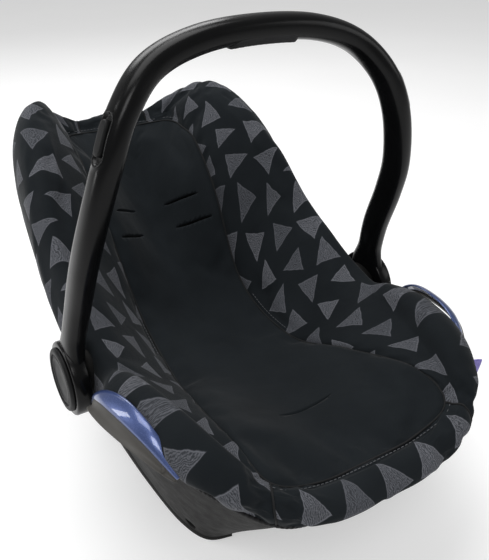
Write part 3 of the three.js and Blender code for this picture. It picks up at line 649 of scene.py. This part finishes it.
def run_cloth(piece):
    """Lets the padded face settle as cloth with air under it, held along its edges and back."""
    free = np.zeros(len(piece.data.vertices), dtype=np.float32)
    piece.data.attributes["free"].data.foreach_get("value", free)
    piece.data.attributes.remove(piece.data.attributes["free"])
    start = np.array([vertex.co for vertex in piece.data.vertices])
    settled = placed("settled", piece.data.copy())
    held = settled.vertex_groups.new(name="held")
    held.add(np.flatnonzero(free < 0.5).tolist(), 1.0, "REPLACE")
    cloth = settled.modifiers.new("cloth", "CLOTH")
    cloth.settings.quality = 5
    cloth.settings.mass = 0.25
    cloth.settings.use_pressure = True
    cloth.settings.uniform_pressure_force = 4.0
    cloth.settings.effector_weights.gravity = 0.0
    cloth.settings.vertex_group_mass = "held"
    cloth.settings.shrink_min = -CLOTH_SLACK
    cloth.collision_settings.use_collision = False
    for step in range(1, PAD_FRAMES + 1):
        bpy.context.scene.frame_set(step)
    shape = settled.evaluated_get(bpy.context.evaluated_depsgraph_get()).to_mesh()
    moved = np.array([vertex.co for vertex in shape.vertices]) - start
    far = np.linalg.norm(moved, axis=1, keepdims=True)
    moved *= np.minimum(1.0, CLOTH_LIMIT * MM / np.maximum(far, 1e-9))
    for vertex, place in zip(piece.data.vertices, start + moved):
        vertex.co = place
    bpy.data.objects.remove(settled)
    bpy.context.scene.frame_set(1)


def subdivided(piece, levels):
    modifier = piece.modifiers.new("smooth", "SUBSURF")
    modifier.levels = levels
    modifier.render_levels = levels


# Loose cloth over the rim beside the thighs, as a middle and a spread along the ribs and the rows.
FULL_HEIGHT, FULL_REACH = 17, 22
FULL_RIB, FULL_RIBS = 16.4, 1.9
FULL_ROW, FULL_ROWS = 3.4, 1.1
HUB_ROOM, HUB_EASE = 46, 30    # the loose cloth starts this far from the pivot's line
LEG_RIB, LEG_RIBS, LEG_ROOM = 11.5, 2.6, 2.2    # it lies flatter where the handle's legs pass


def bell(values, middle, spread):
    return np.exp(-((values - middle) / spread) ** 2)


def side_fullness(points, ribs, rows):
    """How far the loose cloth stands up beside the thighs, clear of the hubs, in mm."""
    rise = FULL_HEIGHT * bell(ribs, FULL_RIB, FULL_RIBS)[:, None] * bell(rows, FULL_ROW, FULL_ROWS)
    from_pivot = np.hypot(points[..., 1], points[..., 2] - PIVOT_Z)
    flatter = LEG_ROOM * bell(ribs, LEG_RIB, LEG_RIBS)[:, None] * smooth_step(rows - CREST_ROW)
    return rise * smooth_step((from_pivot - HUB_ROOM) / HUB_EASE) - flatter


def make_cover():
    """The five padded panels of the cover."""
    ribs = np.linspace(HEAD_RIB, FOOT_RIB, 108)
    rim_rows = np.linspace(SEAM_ROW, HEM_ROW, 46)
    points, normals = patch(ribs, rim_rows)
    sides = {"right": (points, normals), "left": (mirrored(points), mirrored(normals))}
    pieces = [
        pad(f"bolster_{side}", *sides[side], f"cover_bolster_{side}", PRINTED, "patterned_fabric",
            fullness=side_fullness(points, ribs, rim_rows))
        for side in sides
    ]
    points, normals = patch(np.linspace(FOOT_RIB, RIBS, 26), rim_rows)
    pieces.append(pad("foot_band", round_foot(points), round_foot(normals), "cover_foot_band",
                      PRINTED_BAND, "patterned_fabric"))
    points, normals = patch(np.linspace(0, HEAD_RIB, 10), rim_rows)
    pieces.append(pad("head_band", round_head(points), round_head(normals), "cover_head_band",
                      JERSEY, "jersey"))
    points, normals = patch(np.linspace(0, RIBS, 130), np.linspace(0, SEAM_ROW, 15))
    centre = pad("centre_panel", whole_width(points), whole_width(normals), "cover_centre",
                 JERSEY, "jersey", walls="left right")
    pieces.append(centre)
    return centre


# ---- slits, seams and hem --------------------------------------------------------------------------
SHOULDER_SLITS = [[[28, 269], [66, 292]], [[30, 244], [72, 267]]]
SLIT_HEIGHT = 4
CROTCH_SLIT_HALF, CROTCH_SLIT_Y = 38, -149


def on_seat(x, height=None, y=None):
    """The point of the seat's face at an x, and at a height on the back or a y on the seat."""
    steps = np.linspace(2, 13, 240) if y is None else np.linspace(14, 22, 160)
    rows = np.linspace(0, SEAM_ROW, 24)
    points, normals = patch(steps, rows)
    wanted = points[..., 2] - height if y is None else points[..., 1] - y
    miss = wanted ** 2 + (points[..., 0] - abs(x)) ** 2
    best = np.unravel_index(np.argmin(miss), miss.shape)
    flip = np.array([math.copysign(1, x), 1, 1])
    return points[best] * flip, normals[best] * flip


def slit_lines():
    """The line of each slit, as points on the seat's face with their normals."""
    lines = []
    for (x0, z0), (x1, z1) in SHOULDER_SLITS:
        for side in (1, -1):
            ends = [(x0 + (x1 - x0) * t, z0 + (z1 - z0) * t) for t in np.linspace(0, 1, 9)]
            lines.append([on_seat(side * x, height=z) for x, z in ends])
    across = np.linspace(-CROTCH_SLIT_HALF, CROTCH_SLIT_HALF, 11)
    lines.append([on_seat(x if x else 0.01, y=CROTCH_SLIT_Y) for x in across])
    return lines


def smoothed(points):
    points = np.array(points)
    for _ in range(3):
        points[1:-1] = (points[:-2] + 2 * points[1:-1] + points[2:]) / 4
    return points


def cut_slits(centre):
    """Cuts the harness slits through the centre panel and binds their edges."""
    bindings, cutters = [], []
    for line in slit_lines():
        place = smoothed([point for point, _ in line])
        out = unit(smoothed([normal for _, normal in line]))
        heading = unit(np.gradient(place, axis=0))
        across = unit(np.cross(out, heading))
        half = SLIT_HEIGHT / 2 * np.sqrt(np.clip(1 - np.linspace(-1, 1, len(line)) ** 4, 0.05, 1))
        half = half[:, None]
        ring = np.stack([
            place - across * half - out * 9, place + across * half - out * 9,
            place + across * half + out * 14, place - across * half + out * 14,
        ], axis=1)
        cutters.append((ring.reshape(-1, 3), sweep_faces(len(line), 4)))
        lift = out * (PUFF + 0.3)
        loop = np.concatenate([
            place + across * (half + 0.9) + lift, (place - across * (half + 0.9) + lift)[::-1],
        ])
        loop = np.concatenate([loop, loop[:2]])
        bindings.append(tube(loop, 1.0, 8, side=np.concatenate([out, out[::-1], out[:2]])))
    cut_out(centre, *joined(*cutters))
    make_piece("slit_bindings", *joined(*bindings), BINDING, slot="jersey")


def cut_out(piece, points, faces):
    """Cuts a solid out of a piece, and keeps the result as plain mesh."""
    cutter = make_piece("cutter", points, faces, piece.data.materials[0])
    modifier = piece.modifiers.new("cut", "BOOLEAN")
    modifier.object = cutter
    modifier.operation = "DIFFERENCE"
    modifier.solver = "EXACT"
    graph = bpy.context.evaluated_depsgraph_get()
    result = bpy.data.meshes.new_from_object(piece.evaluated_get(graph))
    piece.modifiers.clear()
    piece.data = result
    bpy.data.objects.remove(cutter)


PIPING_RADIUS, PIPING_SUNK = 1.1, 1.3


def make_seams():
    """Thin piping in the seams round the centre panel and beside the two end bands."""
    points, normals = patch(np.linspace(0, RIBS, 220), [SEAM_ROW, SEAM_ROW + 0.01])
    out = normals[:, 0]
    right = points[:, 0] - out * PIPING_SUNK
    ring = np.concatenate([right, mirrored(right[-2:0:-1])])
    ring_out = np.concatenate([out, mirrored(out[-2:0:-1])])
    ring, ring_out = np.concatenate([ring, ring[:1]]), np.concatenate([ring_out, ring_out[:1]])
    tubes = [tube(ring, PIPING_RADIUS, 8, side=ring_out)]
    for rib in (HEAD_RIB, FOOT_RIB):
        points, normals = patch([rib, rib + 0.01], np.linspace(SEAM_ROW, HEM_ROW, 60))
        path = points[0] - normals[0] * PIPING_SUNK
        tubes.append(tube(path, PIPING_RADIUS, 8, side=normals[0]))
        tubes.append(tube(mirrored(path), PIPING_RADIUS, 8, side=mirrored(normals[0])))
    make_piece("seam_piping", *joined(*tubes), BINDING, slot="elastic")
    make_stitches(ring, ring_out)


def make_stitches(ring, ring_out):
    """A row of short stitches beside the seam of the centre panel."""
    travelled = np.concatenate([[0], np.cumsum(np.linalg.norm(np.diff(ring, axis=0), axis=1))])
    heading = unit(np.gradient(ring, axis=0))
    inward = unit(np.cross(ring_out, heading))
    pitch, length = 5.0, 3.2
    stitches = []
    for k in range(int(travelled[-1] / pitch)):
        ends = []
        for reach in (0.0, length / 2, length):
            at = min(k * pitch + reach, travelled[-1])
            place, out, side = (
                np.array([np.interp(at, travelled, data[:, axis]) for axis in range(3)])
                for data in (ring, ring_out, inward)
            )
            ends.append(place + side * 5.0 + out * (0.45 + 0.25 * (reach == length / 2)))
        stitches.append(tube(ends, 0.42, 5))
    make_piece("seam_stitches", *joined(*stitches), THREAD, slot="elastic")


def make_hem():
    """The gathered elastic along the cover's lower edge, in two lengths that end at the pivots."""
    steps = np.linspace(0, RIBS, 420)
    points, normals = patch(steps, [HEM_ROW - 0.03, HEM_ROW])
    down = unit(points[:, 1] - points[:, 0])
    path = points[:, 1] - normals[:, 1] * 1.6 + down * 1.5
    clear = np.hypot(path[:, 1], path[:, 2] - PIVOT_Z) > 31
    clear |= path[:, 0] < 178
    head_end, foot_start = np.argmin(clear), len(clear) - np.argmin(clear[::-1])
    for name, path_part, out in (
        ("hem_head", round_head(path[:head_end]), round_head(normals[:head_end, 1])),
        ("hem_foot", round_foot(path[foot_start:]), round_foot(normals[foot_start:, 1])),
    ):
        gather = 1 + 0.10 * np.sin(np.arange(len(path_part)) * 2.2)
        rings, faces = tube(path_part, 4.4, 12, squash=0.5, side=out)
        centres = np.repeat(path_part, 12, axis=0)
        rings = centres + (rings - centres) * np.repeat(gather, 12)[:, None]
        travelled = np.cumsum(np.linalg.norm(np.gradient(path_part, axis=0), axis=1)) * MM
        uv = [(d, 0.001 * k) for d in travelled for k in range(12)]
        node = f"hem_elastic_{name.split('_')[1]}"
        subdivided(make_piece(name, rings, faces, ELASTIC, "seat", "elastic", node, uv), 1)


# ---- shell -----------------------------------------------------------------------------------------
BAR_PLACES, BAR_Z = (-100, 112), 27    # the docking bars, from the pivot's line and from the floor
BAR_HOLE = 7.5                 # radius of the hole round each end of a bar


def sunk(points, normals, depth):
    return points - normals * depth


def under(points, normals, rows, depth_in, depth_out, row_in, row_out):
    """The surface at one depth inside the rim and another outside it, straight across between."""
    rows = np.asarray(rows)
    grid = np.where((rows <= row_in)[None, :, None], sunk(points, normals, depth_in[..., None]),
                    sunk(points, normals, depth_out))
    first, last = np.searchsorted(rows, row_in), np.searchsorted(rows, row_out)
    for k in range(first + 1, last):
        share = (rows[k] - rows[first]) / (rows[last] - rows[first])
        grid[:, k] = grid[:, first] * (1 - share) + grid[:, last] * share
    return grid


def make_shell():
    """The moulded shell: pan, rim and skirt in one wall, with rails, pivot bosses and lugs."""
    steps, rows = np.linspace(0, RIBS, 150), np.linspace(0, KEEL_ROW, 61)
    points, normals = patch(steps, rows)
    depth = shell_depth(steps, rows)
    outer = under(points, normals, rows, depth, SKIRT_DEPTH, INSIDE_ROW, OUTSIDE_ROW)
    inner = under(points, normals, rows, depth + WALL, SKIRT_DEPTH + WALL, INSIDE_ROW - 0.5,
                  OUTSIDE_ROW + 0.5)
    for grid in (outer, inner):
        grid[..., 2] = np.maximum(grid[..., 2], 0)
    solids = [slab(whole_loop(outer), whole_loop(inner), walls="right")]
    for side in (1, -1):
        solids.append(rail(side))
        solids.append(lathe([(0.5, 180), (28, 180), (28, 197.6), (27, 198.6), (0.5, 198.6)], 64, side))
        solids.append(rounded_box(side * 190.3, 40, 206, 16.6, 40, 36, 3))
    shell = make_piece("shell_moulding", *joined(*solids), SHELL_GREY, "seat", "shell_plastic", "shell")
    hole = [(BAR_HOLE, 100), (BAR_HOLE, 170)]
    holes = [lathe(hole, 32, side, y, BAR_Z) for y in BAR_PLACES for side in (1, -1)]
    cut_out(shell, *joined(*holes))


def make_foam():
    """The foam liner between the cover and the shell, with room for the harness adjuster."""
    steps, rows = np.linspace(0, RIBS, 90), np.linspace(0, INSIDE_ROW, 26)
    points, normals = patch(steps, rows)
    outer = sunk(points, normals, COVER + 0.3)
    inner = sunk(points, normals, shell_depth(steps, rows)[..., None] - 0.8)
    foam = make_piece("foam_pad", *slab(whole_width(outer), whole_width(inner), walls="left right"),
                      FOAM, "seat", "foam", "foam_liner")
    low, high = (np.array(corner) / MM - ORIGIN_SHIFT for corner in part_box("adjuster_housing"))
    cut_out(foam, *rounded_box(*((low + high) / 2), *(high - low + 2), 1))


def shell_depth(steps, rows):
    """How deep the shell's face lies under the seat's face, for each rib step and row."""
    rim_width = 2 * along_guide(ROLL, steps)[:, 0:1]
    full = COVER + LINER_MAX
    at_rim = np.minimum(full, 1.1 * rim_width - 20)
    return full + (at_rim - full) * np.minimum(1, rows[None, :] / INSIDE_ROW)


def whole_loop(points):
    """A right half turned into a full round: down the right side and back up the left."""
    return np.concatenate([points, mirrored(points[::-1])], axis=0)


def rail(side):
    """One of the two rails that the seat stands on."""
    steps = np.linspace(8, 20, 60)
    keel = along_guide(KEEL, steps)
    heading = unit(np.gradient(keel, axis=0))
    inward = unit(np.stack([heading[:, 1], -heading[:, 0], 0 * heading[:, 0]], axis=1))
    inward *= -np.sign(inward[:, 0:1])
    corners = [(3, 1), (3, 13), (4, 14), (19, 14), (20, 13), (20, 1), (19, 0), (4, 0)]
    rings = np.stack([
        keel + inward * reach + np.array([0, 0, 1.0]) * height for reach, height in corners
    ], axis=1)
    rings[..., 2] = np.maximum(rings[..., 2], 0)
    points = rings if side > 0 else mirrored(rings)
    return points.reshape(-1, 3), sweep_faces(len(steps), len(corners))


def rounded_box(x, y, z, width, depth, height, radius):
    """A box with rounded edges, about a middle point, in mm."""
    bm = bmesh.new()
    bmesh.ops.create_cube(bm, size=1.0)
    for vertex in bm.verts:
        vertex.co = (vertex.co.x * width, vertex.co.y * depth, vertex.co.z * height)
    bmesh.ops.bevel(bm, geom=bm.edges[:], offset=radius, segments=3, affect="EDGES", profile=0.5)
    bm.verts.ensure_lookup_table()
    points = np.array([vertex.co[:] for vertex in bm.verts])
    faces = [tuple(vertex.index for vertex in face.verts) for face in bm.faces]
    bm.free()
    return points + [x, y, z], faces


# ---- carry handle ----------------------------------------------------------------------------------
BAR_SIDES = 56
FLARE, FLARE_TOP = 1.1, 272    # the legs widen by this share, from this height down to the pivot
RIGHT_HALF = np.array(HANDLE_LINE, float)
HANDLE_CONTROLS = np.concatenate([RIGHT_HALF, mirrored(RIGHT_HALF[-2::-1])])


def handle_frames(ts):
    """Places and directions along the handle: along it, fore and aft, and out of its opening."""
    place, ahead, behind = (
        np.array([catmull(HANDLE_CONTROLS, min(max(t + step, 0), 1)) for t in ts])
        for step in (0, 1e-4, -1e-4)
    )
    heading = unit(ahead - behind)
    aft = unit(np.array([0, 1, 0]) - heading * heading[:, 1:2])
    out = unit(np.cross(aft, heading))
    away = out[:, 0] * place[:, 0] + out[:, 2] * (place[:, 2] - PIVOT_Z)
    return place, heading, aft, out * np.where(away < 0, -1, 1)[:, None]


def button_t():
    """How far along the handle the right button sits, from 0 to 1."""
    ts = np.linspace(0, 0.5, 2001)
    heights = np.array([catmull(HANDLE_CONTROLS, t)[2] for t in ts])
    return float(ts[np.argmax(heights >= BUTTON_Z)])


def pill_distance(a, b, length, width):
    """How far outside a pill's outline a point is, in mm; inside it is negative."""
    straight = (length - width) / 2
    return np.hypot(np.maximum(np.abs(a) - straight, 0), b) - width / 2


def make_handle():
    middle = button_t()
    spots = [middle, 1 - middle]
    ts = np.unique(np.concatenate(
        [np.linspace(0, 1, 340)] + [np.linspace(t - 0.026, t + 0.026, 80) for t in spots]
    ))
    place, _, aft, out = handle_frames(ts)
    angles = np.linspace(0, 2 * np.pi, BAR_SIDES, endpoint=False)
    power = 2 / 2.4
    flare = smooth_step((FLARE_TOP - place[:, 2]) / (FLARE_TOP - PIVOT_Z))[:, None]
    half_width = (HANDLE_WIDTH / 2) * (1 + FLARE * flare)
    wide = np.sign(np.cos(angles)) * np.abs(np.cos(angles)) ** power * half_width
    share = smooth_step((place[:, 2:3] - PIVOT_Z) / (NECK_TOP - PIVOT_Z))
    half_thick = (NECK_THICKNESS + (HANDLE_THICKNESS - NECK_THICKNESS) * share) / 2
    thick = np.sign(np.sin(angles)) * np.abs(np.sin(angles)) ** power * half_thick
    bar = place[:, None] + aft[:, None] * wide[..., None] + out[:, None] * thick[..., None]
    for t in spots:
        bar = recessed(bar, thick, t)
    solids = [(bar.reshape(-1, 3), sweep_faces(len(ts), BAR_SIDES))]
    hub = [(6.5, 199), (40, 199), (41.2, 199.6), (42, 201), (42, 214.6), (41.2, 216.2),
           (39.6, 217), (12.5, 217), (12.5, 211.5), (6.5, 211.5)]
    solids += [lathe(hub, 96, side) for side in (1, -1)]
    make_piece("handle_bar", *joined(*solids), SATIN_BLACK, "handle", "black_plastic", "handle")


def recessed(bar, thick, t):
    """Sinks a rimmed pill-shaped pocket into the outer face of the bar, for a button."""
    (middle,), (heading,), (aft,), (out,) = handle_frames([t])
    local = bar - middle
    a, b = local @ heading, local @ aft
    distance = pill_distance(a, b, 46, 17)
    faces_out = smooth_step((thick - 2) / 4)
    near = (np.abs(a) < 40) & (np.linalg.norm(local, axis=-1) < 45)
    sink = -3.2 * smooth_step((0.8 - distance) / 2.6) + 0.9 * np.exp(-((distance - 2) / 1.3) ** 2)
    return bar + out * (sink * faces_out * near)[..., None]


def make_buttons():
    """The two release buttons: glossy pills with a crowned top."""
    middle = button_t()
    for side in ("right", "left"):
        t = middle if side == "right" else 1 - middle
        (place,), (heading,), (aft,), (out,) = handle_frames([t])
        rings = []
        for inset, depth in ((0, -6), (0, 0.2), (0.5, 1.0), (1.6, 1.5), (3.4, 1.8), (5.6, 1.9)):
            rings.append(pill_ring(place, heading, aft, out, 33 - 2 * inset, 14 - 2 * inset, depth))
        points = np.array(rings).reshape(-1, 3)
        node = f"handle_button_{side}"
        make_piece(f"button_{side}", points, sweep_faces(len(rings), 48), HUB_BLACK, node,
                   "black_plastic", node)


def pill_ring(place, heading, aft, out, length, width, depth):
    straight = (length - width) / 2
    ring = []
    for angle in np.linspace(0, 2 * np.pi, 48, endpoint=False):
        a = math.cos(angle) * width / 2 + math.copysign(straight, math.cos(angle))
        b = math.sin(angle) * width / 2
        ring.append(place + out * (HANDLE_THICKNESS / 2 + depth) + heading * a + aft * b)
    return ring


def make_grip():
    """The soft pad under the top of the handle, with shallow ribs across it."""
    ts = np.linspace(0.5 - 0.032, 0.5 + 0.032, 90)
    place, _, aft, out = handle_frames(ts)
    share = np.linspace(-1, 1, 25)
    width = 15.5 * np.sqrt(np.clip(1 - np.abs(np.linspace(-1, 1, 90)) ** 14, 0.02, 1))[:, None]
    ribs = 0.35 * np.cos(np.linspace(0, 26 * 2 * np.pi, 90))[:, None]
    sag = (2.4 + ribs) * np.clip(1 - share[None, :] ** 6, 0, 1)
    sag *= smooth_step((1 - np.abs(np.linspace(-1, 1, 90))) * 14)[:, None]
    wide = width * share[None, :]
    base = -HANDLE_THICKNESS / 2 * (1 - (np.abs(wide) / (HANDLE_WIDTH / 2)) ** 2.4) ** (1 / 2.4)
    lower = place[:, None] + aft[:, None] * wide[..., None] + out[:, None] * (base - sag)[..., None]
    upper = place[:, None] + aft[:, None] * wide[..., None] + out[:, None] * (base + 2.5)[..., None]
    make_piece("grip_pad", *slab(lower, upper), RUBBER, "handle", "rubber", "handle_grip")


def make_hub_caps():
    """Round caps with a raised ring, a fine knurl and a dished middle."""
    profile = [(0.5, 217.3), (36, 217.3), (36, 219), (35.2, 220.6), (33.8, 221.6), (31.5, 222),
               (29.2, 221.7), (28.2, 220.6), (27.0, 220.2), (25.8, 220.5), (25.0, 221.2),
               (23.6, 221.2), (22.8, 220.5), (16, 220.0), (8, 219.7), (0.5, 219.6)]
    for side, name in ((1, "right"), (-1, "left")):
        knurls = []
        for k in range(72):
            angle = 2 * math.pi * k / 72
            centre = np.array([side * 220.9, 29.9 * math.cos(angle), PIVOT_Z + 29.9 * math.sin(angle)])
            spoke = np.array([0, math.cos(angle), math.sin(angle)])
            knurls.append(tube([centre - spoke * 1.5, centre, centre + spoke * 1.5], 0.9, 6))
        make_piece(f"hub_disc_{name}", *joined(lathe(profile, 96, side), *knurls), HUB_BLACK,
                   "handle", "black_plastic", f"hub_cap_{name}")


# ---- belt guides -----------------------------------------------------------------------------------
# Cross sections as (distance outward, height) pairs: the blue blade, and the hollow strip below it.
BLADE = [
    (-17, -0.5), (-16.6, 0.6), (-15, 2.0), (-11.5, 3.3), (-7.5, 4.1), (-3.5, 4.3), (-0.5, 3.8),
    (1.8, 2.8), (3, 1.2), (3, -0.4), (1.6, -1.2), (-3, -0.9), (-9, -1.1), (-15, -1.4), (-16.6, -1.3),
]
STRIP = [
    (1.4, 0.4), (3.6, 0.2), (6, -1.2), (9.5, -2.2), (13, -1.8), (15.8, -0.2), (17, 0.9),
    (18, 0.4), (18, -1.0), (16.6, -2.8), (12, -4.4), (6, -3.8), (1.4, -2.0),
]
HEAD_SHARE = 0.45              # how much of its inner width a blade has at its head end
GUIDE_ARMS = [([185, -76, 206], [207, -76, 223]), ([167.5, -188, 207], [190, -188, 221])]


def make_guides():
    """Blue blades like eyebrows, each with a hollow grey strip along its outer edge and two arms."""
    arms = joined(*(tube(np.linspace(*ends, 8), 4.2, 14) for ends in GUIDE_ARMS))
    for side, name in ((1, "right"), (-1, "left")):
        flip = [side, 1, 1]
        for piece_name, (points, faces), material, node in (
            (f"guide_{name}", swept_blade(BLADE), BLUE, f"belt_guide_{name}"),
            (f"guide_strip_{name}", swept_blade(STRIP), UNDERSIDE_GREY, None),
            (f"guide_arms_{name}", arms, UNDERSIDE_GREY, None),
        ):
            piece = make_piece(piece_name, points * flip, faces, material, "seat", "blue_plastic", node)
            if node:
                subdivided(piece, 1)


def swept_blade(section):
    """A section carried along the guide's line, narrowing to a point at each end, and narrower
    inward near the head end, where the handle swings past."""
    controls = np.array(GUIDE_LINE, float)
    ts = np.linspace(0, 1, 90)
    place = np.array([catmull(controls, t) for t in ts])
    heading = unit(np.gradient(place, axis=0))
    out_down = np.array([0.72, 0, -0.69])
    out_down = unit(out_down - heading * (heading @ out_down)[:, None])
    up = unit(np.cross(heading, out_down))
    up *= np.sign(up[:, 2:3])
    swell = np.sin(np.pi * (0.02 + 0.96 * ts)) ** 0.6
    wide, high = np.array(section).T
    inward = (HEAD_SHARE + (1 - HEAD_SHARE) * smooth_step(ts / 0.6))[:, None]
    reach = np.where(wide[None] < 0, wide[None] * inward, wide[None]) * swell[:, None]
    points = (
        place[:, None]
        + out_down[:, None] * reach[..., None]
        + up[:, None] * (high[None] * np.sqrt(swell)[:, None])[..., None]
    )
    return points.reshape(-1, 3), sweep_faces(len(ts), len(section))


# ---- small parts -----------------------------------------------------------------------------------
def make_tag():
    """A folded woven label caught in the side seam."""
    points, normals = patch([18, 18.01], np.linspace(3.75, 4.5, 24))
    line, out = points[0], unit(normals[0].mean(axis=0))
    down = unit(line[-1] - line[0])
    thin = np.cross(out, down)
    reach = np.linspace(0, 1, 14)
    span = np.linspace(-16, 16, 24)
    centre = line[len(line) // 2]
    curl = 1.6 * np.sin(reach * 2.4)
    face = np.array([
        [centre + out * (1 + 16 * r) + down * s + thin * (c + 0.5 * math.sin(s / 6)) for s in span]
        for r, c in zip(reach, curl)
    ])
    make_piece("blank_label", *slab(face + thin * 0.5, face - thin * 0.5), LABEL, "seat",
               "woven_tape", "woven_tag")


def dress_cad_nodes():
    """Gives each CAD part that stays as it is its detailed material."""
    for material, nodes in (
        (BLUE, "rear_belt_hook"),
        (HUB_BLACK, "adjuster_housing"),
        (SILVER, "adjuster_button adapter_release_right adapter_release_left"),
        (STEEL, "docking_bar_front docking_bar_rear harness_yoke crotch_anchor pivot_bolt_right"
                " pivot_bolt_left lock_ring_right lock_ring_left lock_pawl_right lock_pawl_left"),
    ):
        for node in nodes.split():
            for material_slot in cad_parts[node].material_slots:
                material_slot.material = material


# ---- room, light and camera ------------------------------------------------------------------------
def make_floor():
    mesh = bpy.data.meshes.new("floor")
    reach, columns = 12.0, 25
    line = np.linspace(-reach, reach, columns)
    points = [(x, y, 0.0) for y in line for x in line]
    mesh.from_pydata(points, [], grid_faces(columns, columns))
    floor = placed("floor", mesh)
    nodes = Nodes("pale_floor")
    shade = nodes.ramp(nodes.noise(nodes.place(), 3.0), (0.3, (0.64, 0.64, 0.64)),
                       (0.7, (0.66, 0.66, 0.66)))
    mesh.materials.append(nodes.finish(
        Base_Color=shade, Roughness=0.9, Specular_IOR_Level=0.1,
        Emission_Color=(1, 1, 1, 1), Emission_Strength=0.42,
    ))


def make_light(name, place, target, size, power):
    light = bpy.data.lights.new(name, "AREA")
    light.shape = "RECTANGLE"
    light.size, light.size_y = size
    light.energy = power
    lamp = placed(name, light)
    lamp.location = place
    lamp.rotation_euler = (Vector(target) - Vector(place)).to_track_quat("-Z", "Y").to_euler()


def make_lights():
    aim = (0, 0, 0.3)
    make_light("top", (-0.3, 0.5, 2.7), aim, (2.2, 1.6), 44)
    make_light("key", (-1.3, -1.6, 2.3), aim, (1.0, 1.0), 22)
    make_light("fill", (2.2, -1.6, 1.5), aim, (1.4, 1.4), 12)
    make_light("back", (0.3, 2.2, 1.9), aim, (1.8, 0.8), 18)
    make_light("strip", (-2.0, 1.2, 1.1), aim, (0.30, 1.6), 12)
    world = bpy.data.worlds.new("studio")
    world.use_nodes = True
    world.node_tree.nodes["Background"].inputs["Color"].default_value = (1, 1, 1, 1)
    world.node_tree.nodes["Background"].inputs["Strength"].default_value = 0.30
    bpy.context.scene.world = world


CAMERA_PLACE = (-0.363, -0.6655, 0.664)
CAMERA_TURN = -31.5            # degrees about the vertical, from looking along +Y
CAMERA_DROP = 29.0             # degrees below the level
LENS = 44.04


def make_camera():
    camera = bpy.data.cameras.new("camera")
    camera.lens = LENS
    camera.sensor_width = 36
    camera.sensor_fit = "AUTO"
    eye = placed("camera", camera)
    eye.location = CAMERA_PLACE
    eye.rotation_euler = (math.radians(90 - CAMERA_DROP), 0, math.radians(CAMERA_TURN))
    bpy.context.scene.camera = eye


bpy.context.scene.view_settings.view_transform = "Standard"
make_camera()
make_lights()
make_floor()
make_shell()
make_foam()
centre_panel = make_cover()
cut_slits(centre_panel)
make_seams()
make_hem()
make_handle()
make_buttons()
make_grip()
make_hub_caps()
make_guides()
make_tag()
dress_cad_nodes()
